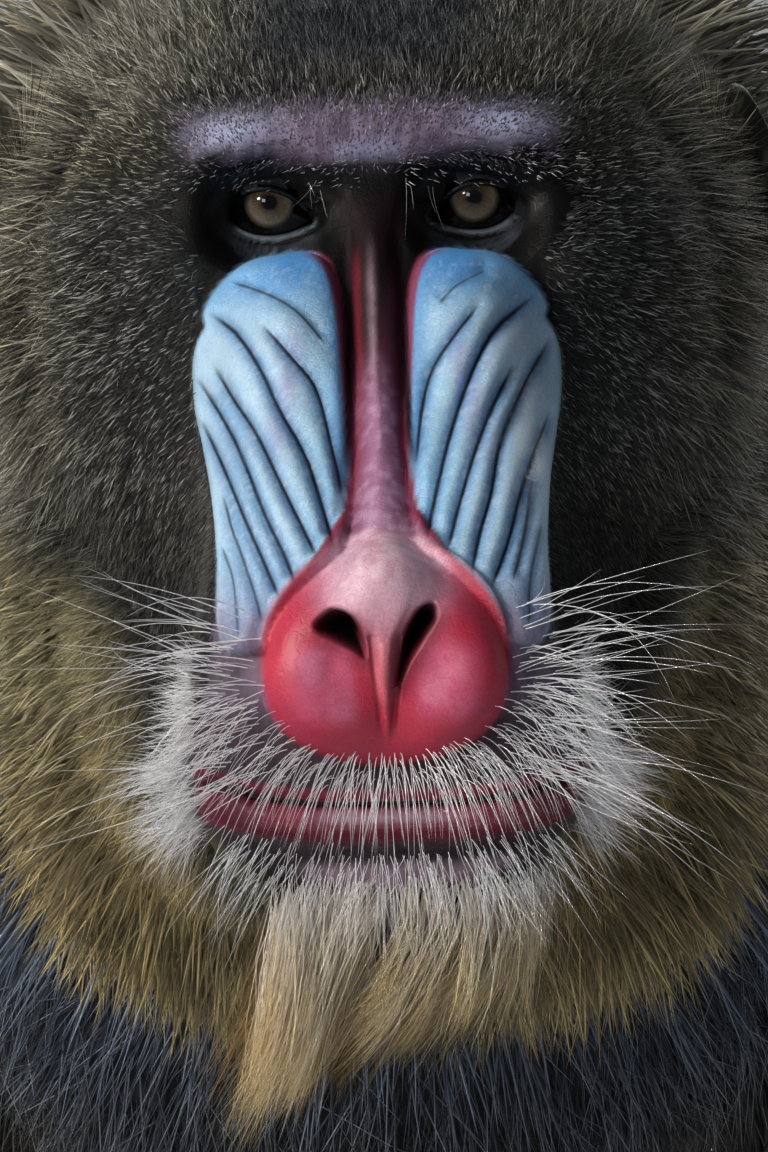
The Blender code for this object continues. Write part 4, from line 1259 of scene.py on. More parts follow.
    @staticmethod
    def mouth(coat: Layers, points: np.ndarray, patch: np.ndarray) -> None:
        """Wine-red lips with a mauve shine, a black parting line and a dark chin."""
        x, y, z = points.T
        side = np.abs(x)
        level = np.interp(x, [a for a, _ in MOUTH_LINE], [b for _, b in MOUTH_LINE])
        above = z - level
        lip = smoothstep(-8.6, -6.4, above) * smoothstep(3.8, 2.4, above) * smoothstep(43, 37, side) * smoothstep(-28, -40, y)
        coat.paint("#9c3851", lip * (0.75 + 0.25 * patch))
        coat.paint("#4f1c2b", lip * smoothstep(18, 34, side) * 0.75)
        coat.paint("#c39bb2", lip * np.exp(-(((above + 2.7) / 1.3) ** 2)) * smoothstep(22, 6, side) * 0.95)
        coat.paint("#5c2030", lip * smoothstep(-5.2, -7.5, above) * 0.5)
        coat.paint("#1d080c", lip * smoothstep(1.0, 0.2, np.abs(above)))
        chin = smoothstep(-8, -10.5, above) * smoothstep(-28, -50, y)
        coat.paint("#2d262c", chin)
        coat.paint("#b093a6", chin * smoothstep(-11, -14, above) * smoothstep(28, 14, np.abs(x - 4)) * (0.5 + 0.5 * mottle(points, 1.6, 2)))

    def grooves(self, points: np.ndarray) -> tuple[np.ndarray, np.ndarray]:
        """Signed distances to the swellings' grooves, in three sets so that no two of a set are near.

        Args:
            points: World metres.

        Returns:
            For each point and set, millimetres across the groove, and how deep it is there.
        """
        local = self.head.local(points)
        plane = local[:, [0, 2]]
        distance, depth = np.full((len(points), 3), GROOVE_REACH), np.zeros((len(points), 3))
        nearest = np.full((len(points), 3), 1e9)
        within = np.full(len(plane), -99.0)
        for s in (-1, 1):
            within = np.maximum(within, inside_by(plane, closed_curve(mirrored(SWELLING, s), 4)))
        ahead = smoothstep(-0.3, 0.9, within) * (local[:, 1] < 20)
        for number, (deep, line) in enumerate(GROOVES):
            path = spread(line, 14)
            gap, share = line_distance(plane, path)
            at = np.clip((share * (len(path) - 1)).astype(int), 0, len(path) - 2)
            along, out = path[at + 1] - path[at], plane - path[at]
            turn = np.sign(along[:, 0] * out[:, 1] - along[:, 1] * out[:, 0])
            ends = np.clip(np.minimum(share / 0.10, (1 - share) / 0.08), 0, 1)
            slot = number % 3
            near = gap < nearest[:, slot]
            nearest[near, slot] = gap[near]
            distance[near, slot] = (turn * np.minimum(gap, GROOVE_REACH))[near] / (0.65 + 0.30 * deep)
            strength = ends * smoothstep(0.8 * GROOVE_REACH, 0.4 * GROOVE_REACH, gap) * min(1.0, 0.3 + deep / 2.6) * ahead
            depth[near, slot] = strength[near]
        return distance, depth

    def bare(self, local: np.ndarray) -> np.ndarray:
        """How far each place lies outside the bare face, in millimetres.

        Args:
            local: Head millimetres.

        Returns:
            Distance from the bare skin's edge; inside it is negative.
        """
        outline = BARE + mirrored(BARE, -1)[-2:0:-1]
        gap = -inside_by(local[:, [0, 2]], closed_curve(outline, 3))
        behind = np.clip(local[:, 1] - 20, 0, None)
        return np.where(behind > 0, np.maximum(gap, 0) + behind * 0.8, gap)

    def coat(self, points: np.ndarray, normals: np.ndarray) -> tuple[np.ndarray, np.ndarray]:
        """Colours of the coat at its roots and at its tips.

        Args:
            points: World metres.
            normals: Outward normals there.

        Returns:
            Root and tip colours, linear.
        """
        local = self.head.local(points)
        x, y, z = local.T
        side = np.abs(x)
        patch = mottle(points / MM, 26.0, 4)
        root = Layers(len(points), "#2b2821")
        tip = Layers(len(points), "#9c9271")
        back, height = points[:, 1], points[:, 2]
        under = smoothstep(-0.1, -0.75, normals[:, 2])
        tip.paint("#a89d76", smoothstep(0.2, 0.9, normals[:, 2]) * 0.7)
        tip.paint("#b3ada0", under * 0.8 * smoothstep(-0.12, -0.02, back))
        root.paint("#5a564e", under * 0.6 * smoothstep(-0.12, -0.02, back))
        chest = smoothstep(0.02, -0.09, back) * smoothstep(0.60, 0.52, height)
        root.paint("#151b26", chest)
        tip.paint("#72839d", chest * 0.9)
        limb = smoothstep(0.40, 0.26, height)
        root.paint("#16140f", limb)
        tip.paint("#736b56", limb * 0.85)
        tip.paint("#221e1b", smoothstep(0.11, 0.06, height))
        rump = smoothstep(0.32, 0.39, back) * smoothstep(0.36, 0.42, height)
        tip.paint("#8a8fb0", rump * 0.75)
        root.paint("#40365a", rump * 0.6)
        head = smoothstep(170, 100, y) * smoothstep(-225, -195, z)
        near = smoothstep(4, 40, self.bare(local))
        begins = np.interp(z, (-150, -125, -111, -101, -84, -60, -40), (22, 44, 51, 55, 61, 78, 100))
        low = smoothstep(begins - 7, begins + 8, side + 10 * (patch - 0.5))
        olive = Layers(len(points), "#bcbbad")
        olive.paint("#c6c1a6", smoothstep(38, 74, side) * smoothstep(-60, -10, z))
        olive.paint("#b8ae84", smoothstep(0.45, 0.8, patch) * 0.3)
        olive.paint("#5b5c55", smoothstep(-45, -80, z))
        olive.paint("#bfb690", low)
        olive.paint("#c8b078", low * smoothstep(-92, -128, z) * (0.4 + 0.6 * patch))
        olive.paint("#56606e", smoothstep(21, 32, z) * smoothstep(40, 14, side) * 0.95)
        olive.paint("#c4c1d2", smoothstep(26, 18, z) * smoothstep(4, 8, z) * smoothstep(46, 38, side) * (y < 20))
        olive.paint("#ccd0d3", (1 - near) * 0.8 * smoothstep(8, 0, z) * smoothstep(-70, -45, z))
        deep = Layers(len(points), "#11110f")
        deep.paint("#060607", 1 - near)
        deep.paint("#726a4f", low * 0.9)
        deep.paint("#0b0d11", smoothstep(21, 32, z) * smoothstep(40, 14, side))
        deep.paint("#4a4052", smoothstep(24, 17, z) * smoothstep(4, 8, z) * smoothstep(44, 36, side) * (y < 20))
        tip.rgb += (olive.rgb - tip.rgb) * head[:, None]
        root.rgb += (deep.rgb - root.rgb) * head[:, None]
        return root.rgb, tip.rgb

    def skin(self, points: np.ndarray, normals: np.ndarray) -> np.ndarray:
        """Colour of the skin everywhere.

        Args:
            points: World metres.
            normals: Outward normals there.

        Returns:
            Linear colours.
        """
        local = self.head.local(points)
        root, tip = self.coat(points, normals)
        speck = smoothstep(0.55, 0.8, mottle(points / MM, 0.9, 8))[:, None]
        # Skin under the coat takes the dark colour of the hair roots, with a few pale specks, partly as painted shade
        # so gaps in the coat look deep.
        rgb = root * 0.6 + tip * (0.03 + 0.22 * speck * smoothstep(-30, 60, local[:, 1])[:, None])
        palm = smoothstep(0.075, 0.045, points[:, 2])[:, None]
        rgb += (linear("#2b2523") - rgb) * palm
        pads = smoothstep(0.395, 0.402, points[:, 1]) * smoothstep(0.06, 0.045, np.abs(points[:, 0]))
        pads *= smoothstep(0.43, 0.45, points[:, 2]) * smoothstep(0.52, 0.50, points[:, 2])
        rgb += (linear("#b0587e") - rgb) * pads[:, None]
        ahead = local[:, 1] < 40
        face = self.face_skin(local[ahead])
        share = smoothstep(2.5, -1.5, self.bare(local[ahead]))
        across = np.abs(local[ahead, 0])
        high = brow_top(across)
        brow = smoothstep(high + 3, high - 5, local[ahead, 2]) * smoothstep(1, 6, local[ahead, 2]) * smoothstep(48, 40, across)
        height = local[ahead, 2] + 1.0
        hollow = smoothstep(1.3, 0.95, np.hypot((across - 23) / 24.0, height / np.where(height > 0, 8.0, 12.5)))
        share = np.maximum(np.maximum(share, brow), hollow)[:, None]
        rgb[ahead] += (face - rgb[ahead]) * share
        return rgb

    def gloss(self, points: np.ndarray) -> np.ndarray:
        """How moist and smooth the skin is.

        Args:
            points: World metres.

        Returns:
            0 for dry to 1 for wet.
        """
        local = self.head.local(points)
        x, z = local[:, 0], local[:, 2]
        ahead = local[:, 1] < 20
        eye = np.hypot((np.abs(x) - 21.5) / 12.5, (z + 1.5) / 7.5)
        wet = smoothstep(1.25, 0.85, eye) * 0.9
        wet = np.maximum(wet, smoothstep(6, 2, np.abs(x)) * smoothstep(-12, -22, z) * smoothstep(-60, -30, z) * 0.45)
        nose = inside_by(local[:, [0, 2]], closed_curve(NOSE_PAD + mirrored(NOSE_PAD, -1)[-2:0:-1], 4))
        wet = np.maximum(wet, smoothstep(-1, 2, nose) * 0.45)
        for s in (-1, 1):
            swelling = inside_by(local[:, [0, 2]], closed_curve(mirrored(SWELLING, s), 4))
            wet = np.maximum(wet, smoothstep(0, 3, swelling) * 0.34)
        for s, shape in ((-1, NOSTRIL_WIDE), (1, NOSTRIL_LONG)):
            hole = inside_by(local[:, [0, 2]], closed_curve(mirrored(shape, s), 4))
            wet *= smoothstep(0.6, -0.6, hole)
        level = np.interp(x, [a for a, _ in MOUTH_LINE], [b for _, b in MOUTH_LINE])
        lip = smoothstep(-7, -4, z - level) * smoothstep(1.5, 0, z - level) * smoothstep(36, 26, np.abs(x))
        return np.maximum(wet, lip * 0.8) * ahead


@dataclass(frozen=True)
class SkinFinish:
    """Bare primate skin, matt, finely pored, moist at the lids, nose and lips."""

    pore_mm: float = 0.55
    crease_mm: float = 2.2
    groove_mm: float = 0.52
    # Painted shade laid along the swellings' grooves.
    groove_shade_colour: str = "#0d1526"
    dry_roughness: float = 0.58
    wet_roughness: float = 0.16

    def make(self) -> bpy.types.Material:
        """Builds the material. Pores and creases catch the light as fine grain."""
        made, tree, shader = new_material("living_skin")
        colour = add_node(tree, "ShaderNodeAttribute", {"attribute_name": "skin"})
        wet = add_node(tree, "ShaderNodeAttribute", {"attribute_name": "gloss"})
        place = add_node(tree, "ShaderNodeTexCoord")
        pores = add_node(tree, "ShaderNodeTexNoise", {"Scale": 1 / (self.pore_mm * MM), "Detail": 3.0, "Roughness": 0.6},
                         {"Vector": place.outputs["Object"]})
        creases = add_node(tree, "ShaderNodeTexVoronoi", {"feature": "DISTANCE_TO_EDGE", "Scale": 1 / (self.crease_mm * MM)},
                           {"Vector": place.outputs["Object"]})
        narrow = add_node(tree, "ShaderNodeMapRange", {"From Max": 0.12}, {"Value": creases.outputs["Distance"]})
        relief = add_node(tree, "ShaderNodeMath", {"operation": "MULTIPLY_ADD", 1: 0.35},
                          {0: narrow.outputs["Result"], 2: pores.outputs["Fac"]})
        across = add_node(tree, "ShaderNodeAttribute", {"attribute_name": "groove_across"})
        deep = add_node(tree, "ShaderNodeAttribute", {"attribute_name": "groove_deep"})
        gap = add_node(tree, "ShaderNodeVectorMath", {"operation": "ABSOLUTE"}, {0: across.outputs["Vector"]})
        core = add_node(tree, "ShaderNodeMapRange", {
            "data_type": "FLOAT_VECTOR", "interpolation_type": "SMOOTHSTEP",
            7: (0, 0, 0), 8: (self.groove_mm,) * 3, 9: (1, 1, 1), 10: (0, 0, 0)}, {6: gap.outputs["Vector"]})
        sunk = add_node(tree, "ShaderNodeVectorMath", {"operation": "MULTIPLY"}, {0: core.outputs["Vector"], 1: deep.outputs["Vector"]})
        sets = add_node(tree, "ShaderNodeSeparateXYZ", {}, {0: sunk.outputs["Vector"]})
        pair = add_node(tree, "ShaderNodeMath", {"operation": "MAXIMUM"}, {0: sets.outputs["X"], 1: sets.outputs["Y"]})
        groove = add_node(tree, "ShaderNodeMath", {"operation": "MAXIMUM"}, {0: pair.outputs["Value"], 1: sets.outputs["Z"]})
        relief = add_node(tree, "ShaderNodeMath", {"operation": "MULTIPLY_ADD", 1: -2.2}, {0: groove.outputs["Value"], 2: relief.outputs["Value"]})
        bump = add_node(tree, "ShaderNodeBump", {"Strength": 0.55, "Distance": 0.00022}, {"Height": relief.outputs["Value"]})
        shade = add_node(tree, "ShaderNodeMapRange", {"From Min": 0.3, "From Max": 0.7, "To Min": 0.86, "To Max": 1.12},
                         {"Value": pores.outputs["Fac"]})
        mixed = add_node(tree, "ShaderNodeMix", {"data_type": "RGBA", "blend_type": "MULTIPLY", 0: 1.0},
                         {6: colour.outputs["Color"], 7: shade.outputs["Result"]})
        rough = add_node(tree, "ShaderNodeMapRange", {"To Min": self.dry_roughness, "To Max": self.wet_roughness},
                         {"Value": wet.outputs["Fac"]})
        # Painted shade: the base colour darkens towards the groove colour along each groove.
        groove_shaded = add_node(tree, "ShaderNodeMix", {"data_type": "RGBA", 7: (*linear(self.groove_shade_colour), 1)},
                         {0: groove.outputs["Value"], 6: mixed.outputs[2]})
        sheen = add_node(tree, "ShaderNodeMapRange", {"From Max": 0.45, "To Min": 0.14, "To Max": 0.48}, {"Value": wet.outputs["Fac"]})
        tree.links.new(sheen.outputs["Result"], shader.inputs["Specular IOR Level"])
        tree.links.new(groove_shaded.outputs[2], shader.inputs["Base Color"])
        tree.links.new(rough.outputs["Result"], shader.inputs["Roughness"])
        tree.links.new(bump.outputs["Normal"], shader.inputs["Normal"])
        return made


@dataclass(frozen=True)
class HairFinish:
    """Animal hair: each shaft dark at its root and light at its tip, with a soft shine and, where set, a faint painted
    glow in its own colour.
    """

    name: str
    roughness: float = 0.55
    sheen: float = 0.0
    glow: float = 0.0

    def make(self) -> bpy.types.Material:
        """Builds the material."""
        made, tree, shader = new_material(self.name)
        colour = add_node(tree, "ShaderNodeAttribute", {"attribute_name": "coat"})
        tree.links.new(colour.outputs["Color"], shader.inputs["Base Color"])
        shader.inputs["Roughness"].default_value = self.roughness
        shader.inputs["Specular IOR Level"].default_value = 0.35
        shader.inputs["Sheen Weight"].default_value = self.sheen
        shader.inputs["Sheen Roughness"].default_value = 0.4
        # Painted light: the hair glows faintly in its own colour.
        tree.links.new(colour.outputs["Color"], shader.inputs["Emission Color"])
        shader.inputs["Emission Strength"].default_value = self.glow
        return made


@dataclass(frozen=True)
class NailFinish:
    """Horn of the nails, near black, a little glossy where it is worn smooth."""

    colour: str = "#1b1614"
    roughness: float = 0.32

    def make(self) -> bpy.types.Material:
        """Builds the material. Its shine tells the nails from the dull skin of the fingers."""
        made, tree, shader = new_material("dark_horn")
        place = add_node(tree, "ShaderNodeTexCoord")
        grain = add_node(tree, "ShaderNodeTexNoise", {"Scale": 900.0, "Detail": 2.0}, {"Vector": place.outputs["Object"]})
        bump = add_node(tree, "ShaderNodeBump", {"Strength": 0.25, "Distance": 0.0001}, {"Height": grain.outputs["Fac"]})
        tree.links.new(bump.outputs["Normal"], shader.inputs["Normal"])
        shader.inputs["Base Color"].default_value = (*linear(self.colour), 1)
        shader.inputs["Roughness"].default_value = self.roughness
        return made


@dataclass(frozen=True)
class EyeFinish:
    """Wet eyeball: hazel iris with fine radial fibres, dark rim and brown sclera."""

    iris_mm: float = 6.3
    pupil_mm: float = 1.6
    lid_shade: float = 0.30

    def make(self, name: str, middle: np.ndarray) -> bpy.types.Material:
        """Builds the material of one eye.

        Args:
            name: The material's name.
            middle: The front of the iris, in world metres.

        Returns:
            The material.
        """
        made, tree, shader = new_material(name)
        place = add_node(tree, "ShaderNodeTexCoord")
        away = add_node(tree, "ShaderNodeVectorMath", {"operation": "SUBTRACT", 1: tuple(middle)}, {0: place.outputs["Object"]})
        reach = add_node(tree, "ShaderNodeVectorMath", {"operation": "LENGTH"}, {0: away.outputs["Vector"]})
        share = add_node(tree, "ShaderNodeMath", {"operation": "DIVIDE", 1: self.iris_mm * MM}, {0: reach.outputs["Value"]})
        turn = add_node(tree, "ShaderNodeVectorMath", {"operation": "NORMALIZE"}, {0: away.outputs["Vector"]})
        fibres = add_node(tree, "ShaderNodeTexNoise", {"Scale": 9.0, "Detail": 4.0, "Roughness": 0.7}, {"Vector": turn.outputs["Vector"]})
        wander = add_node(tree, "ShaderNodeMath", {"operation": "MULTIPLY_ADD", 1: 0.16, 2: -0.08}, {0: fibres.outputs["Fac"]})
        moved = add_node(tree, "ShaderNodeMath", {"operation": "ADD"}, {0: share.outputs["Value"], 1: wander.outputs["Value"]})
        bands = add_node(tree, "ShaderNodeValToRGB", {}, {"Fac": moved.outputs["Value"]})
        stops = (
            (0.0, "#020202"), (self.pupil_mm / self.iris_mm - 0.03, "#050404"), (self.pupil_mm / self.iris_mm + 0.05, "#43352a"),
            (0.50, "#6b5a44"), (0.70, "#7f7462"), (0.81, "#4d463b"), (0.92, "#120e0c"), (1.0, "#0a0706"),
        )
        ramp = bands.color_ramp
        while len(ramp.elements) < len(stops):
            ramp.elements.new(0.5)
        for stop, (at, code) in zip(ramp.elements, stops):
            stop.position = at
            stop.color = (*linear(code), 1)
        shade = add_node(tree, "ShaderNodeMapRange", {"From Min": 0.3, "From Max": 0.7, "To Min": 0.7, "To Max": 1.25},
                         {"Value": fibres.outputs["Fac"]})
        mixed = add_node(tree, "ShaderNodeMix", {"data_type": "RGBA", "blend_type": "MULTIPLY", 0: 1.0},
                         {6: bands.outputs["Color"], 7: shade.outputs["Result"]})
        parts = add_node(tree, "ShaderNodeSeparateXYZ", {}, {"Vector": away.outputs["Vector"]})
        dark = add_node(tree, "ShaderNodeMapRange", {
            "From Min": 0.0, "From Max": 0.8 * self.iris_mm * MM, "To Min": 1.0, "To Max": self.lid_shade}, {"Value": parts.outputs["Z"]})
        shaded = add_node(tree, "ShaderNodeMix", {"data_type": "RGBA", "blend_type": "MULTIPLY", 0: 1.0},
                          {6: mixed.outputs[2], 7: dark.outputs["Result"]})
        tree.links.new(shaded.outputs[2], shader.inputs["Base Color"])
        shader.inputs["Roughness"].default_value = 0.35
        shader.inputs["Specular IOR Level"].default_value = 0.0
        shader.inputs["Coat Weight"].default_value = 1.0
        shader.inputs["Coat Roughness"].default_value = 0.02
        return made


@dataclass
class Eyes:
    """Both eyeballs, each with a cornea that stands out over its iris."""

    head: HeadFrame
    form: HeadForm
    finish: EyeFinish = EyeFinish()
    cornea_rise: float = 0.9
    gaze: tuple = (0.0, -1.0, 0.055)

    def build(self) -> list[bpy.types.Object]:
        """Makes the two eyeballs."""
        made = []
        for label, side in SIDES.items():
            middle = np.array((side * self.form.eye_spacing / 2, self.form.eye_depth, 0.0))
            look = unit(np.array(self.gaze))
            rows = []
            for turn in np.linspace(0, np.pi, 61) ** 1.15 / np.pi**0.15:
                around = np.arange(64) * 2 * np.pi / 64
                bulge = self.cornea_rise * smoothstep(0.62, 0.0, np.float64(turn))
                radius = self.form.eye_radius + bulge
                across = np.sin(turn) * radius
                rows.append(np.stack([across * np.sin(around), np.full(64, -math.cos(turn) * radius), across * np.cos(around)], axis=1))
            turned = np.array(Vector((0, -1, 0)).rotation_difference(Vector(look)).to_matrix())
            rings = self.head.world(np.array(rows) @ turned.T + middle)
            ball = ring_object(f"{label}_eyeball", rings)
            front = self.head.world(middle + look * (self.form.eye_radius + self.cornea_rise * 0.6))
            ball.data.materials.append(self.finish.make(f"wet_{label}_eye", front))
            made.append(ball)
        return made


@dataclass
class Skin:
    """The one skin of the whole animal, from its face to its toes."""

    head: HeadFrame
    form: HeadForm
    marks: Markings
    inset: float = 0.008
    head_inset_mm: float = 7.0
    voxel: float = 0.0072
    digit_voxel: float = 0.0042
    extremities: dict = field(default_factory=dict)
    limbs: list = field(default_factory=list)

    def build(self) -> bpy.types.Object:
        """Makes the skin.

        Returns:
            The skin with its colours.
        """
        skin = self.head_skin()
        hands = [self.extremity(name, parts) for name, parts in self.extremities.items()]
        fused(skin, [*self.lid_rims(), *self.ears(), self.body(), *hands])
        points, normals = mesh_points(skin), mesh_normals(skin)
        tint(skin, "skin", self.marks.skin(points, normals))
        weigh(skin, "gloss", self.marks.gloss(points))
        across, deep = self.marks.grooves(points)
        spot(skin, "groove_across", across)
        spot(skin, "groove_deep", deep)
        skin.data.materials.clear()
        skin.data.materials.append(SkinFinish().make())
        for face in skin.data.polygons:
            face.use_smooth = True
        return skin

    def head_skin(self) -> bpy.types.Object:
        """The head: a fine face, and a coarser back with half as many columns."""
        face = FaceRelief(self.form).carve(self.sunk(self.form.face_rings()))
        back = self.sunk(self.form.back_rings())
        rows, columns = face.shape[:2]
        i, j = np.meshgrid(np.arange(rows - 1), np.arange(columns), indexing="ij")
        k = (j + 1) % columns
        quads = np.stack([i * columns + j, i * columns + k, (i + 1) * columns + k, (i + 1) * columns + j], axis=-1)
        half = columns // 2
        start, low = rows * columns, (rows - 1) * columns
        n = np.arange(half)
        m = (n + 1) % half
        join = np.concatenate([
            np.stack([low + 2 * n, low + 2 * n + 1, start + n], axis=1),
            np.stack([low + 2 * n + 1, low + (2 * n + 2) % columns, start + m], axis=1),
            np.stack([low + 2 * n + 1, start + m, start + n], axis=1),
        ])
        i, j = np.meshgrid(np.arange(len(back) - 1), n, indexing="ij")
        k = (j + 1) % half
        more = np.stack([start + i * half + j, start + i * half + k, start + (i + 1) * half + k, start + (i + 1) * half + j], axis=-1)
        end = start + (len(back) - 1) * half
        total = start + back.shape[0] * half
        caps = np.concatenate([
            np.stack([(np.arange(columns) + 1) % columns, np.arange(columns), np.full(columns, total)], axis=1),
            np.stack([end + n, end + m, np.full(half, total + 1)], axis=1),
        ])
        points = np.vstack([face.reshape(-1, 3), back.reshape(-1, 3), face[0].mean(axis=0), back[-1].mean(axis=0)])
        made = mesh_object("skin", self.head.world(points), [quads.reshape(-1, 4), more.reshape(-1, 4), join, caps])
        face_out(made)
        return made

    def sunk(self, rings: np.ndarray) -> np.ndarray:
        """Lowers a head surface under its coat, and leaves the bare face where it is."""
        normals = ring_normals(rings).reshape(-1, 3)
        points = rings.reshape(-1, 3)
        depth = self.head_inset_mm * smoothstep(2, 45, self.marks.bare(points))
        return (points - normals * depth[:, None]).reshape(rings.shape)

    def lid_rims(self) -> list[bpy.types.Object]:
        """The moist edges of the lids, one closed roll round each opening."""
        made = []
        for label, side in SIDES.items():
            centre = np.array((side * self.form.eye_spacing / 2, self.form.eye_depth, 0.0))
            line = closed_curve(mirrored(LID_OPENING, side), 8)
            reach = self.form.eye_radius + 0.55
            gap = np.hypot(line[:, 0] - centre[0], line[:, 1])
            depth = centre[1] - np.sqrt(np.clip(reach**2 - gap**2, 1.0, None))
            path = np.stack([line[:, 0], depth, line[:, 1]], axis=1)
            tangent = unit(np.roll(path, -1, axis=0) - np.roll(path, 1, axis=0))
            out = unit(path - centre)
            across = unit(np.cross(tangent, out))
            angles = np.arange(8) * 2 * np.pi / 8
            size = 0.78
            rings = path[:, None] + size * (across[:, None] * np.sin(angles)[None, :, None] + out[:, None] * np.cos(angles)[None, :, None])
            count = len(path)
            i, j = np.meshgrid(np.arange(count), np.arange(8), indexing="ij")
            k, up = (j + 1) % 8, (i + 1) % count
            quads = np.stack([i * 8 + j, i * 8 + k, up * 8 + k, up * 8 + j], axis=-1).reshape(-1, 4)
            rim = mesh_object(f"rim_{label}", self.head.world(rings.reshape(-1, 3)), [quads])
            face_out(rim)
            made.append(rim)
        return made

    def ears(self) -> list[bpy.types.Object]:
        """The two small, bare, cupped ears."""
        made = []
        profile = spread(((0, 9.5), (0.45, 9), (0.74, 5.0), (0.93, 0.5), (1.0, -3.2), (0.96, -4.8), (0.84, -4.6), (0.66, -1.0), (0.42, 2.6), (0, 5.0)), 22)
        around = np.arange(40) * 2 * np.pi / 40
        for label, side in SIDES.items():
            rings = []
            for share, depth in profile:
                point = 1 + 0.16 * np.cos(around) ** 4 * (np.cos(around) > 0)
                lobe = 1 - 0.12 * np.exp(-(((around - np.pi * (1 - 0.35 * side)) / 0.5) ** 2))
                across, rise = share * 13.2 * np.sin(around) * lobe, share * 21.0 * np.cos(around) * point
                rings.append(np.stack([across, np.full(40, depth), rise], axis=1))
            turn = np.array(Matrix.Rotation(math.radians(side * 58), 3, "Z") @ Matrix.Rotation(math.radians(-10), 3, "X"))
            spots = np.array(rings) @ turn.T + np.array((side * 81.5, 74.0, 2.0))
            made.append(ring_object(f"cup_{label}", self.head.world(spots)))
        return made

    def body(self) -> bpy.types.Object:
        """Everything behind the head, melted into one smooth surface."""
        core = join_objects("body", [ring_object(name, form.rings) for name, form in self.limbs if "digit" not in name])
        remesh = core.modifiers.new("melt", "REMESH")
        remesh.mode = "VOXEL"
        remesh.voxel_size = self.voxel
        smooth = core.modifiers.new("smooth", "SMOOTH")
        smooth.factor = 0.5
        smooth.iterations = 6
        baked_down(core)
        return core

    def extremity(self, name: str, parts: list[np.ndarray]) -> bpy.types.Object:
        """One hand or foot with its digits, melted together finely and flat on the floor.

        Args:
            name: The object's name.
            parts: Rings of the palm or sole and of the digits.

        Returns:
            The object.
        """
        made = join_objects(name, [ring_object("part", rings) for rings in parts])
        remesh = made.modifiers.new("melt", "REMESH")
        remesh.mode = "VOXEL"
        remesh.voxel_size = self.digit_voxel
        smooth = made.modifiers.new("smooth", "SMOOTH")
        smooth.factor = 0.5
        smooth.iterations = 4
        baked_down(made)
        points = mesh_points(made)
        points[:, 2] = np.maximum(points[:, 2], 0.0002)
        made.data.vertices.foreach_set("co", points.astype(np.float32).ravel())
        made.data.update()
        return made


def join_objects(name: str, parts: list[bpy.types.Object]) -> bpy.types.Object:
    """Puts the meshes of several objects in one.

    Args:
        name: The new object's name.
        parts: The objects, which are removed.

    Returns:
        The one object.
    """
    work = bmesh.new()
    for part in parts:
        work.from_mesh(part.data)
        bpy.data.objects.remove(part)
    mesh = bpy.data.meshes.new(name)
    work.to_mesh(mesh)
    work.free()
    made = bpy.data.objects.new(name, mesh)
    bpy.context.scene.collection.objects.link(made)
    return made


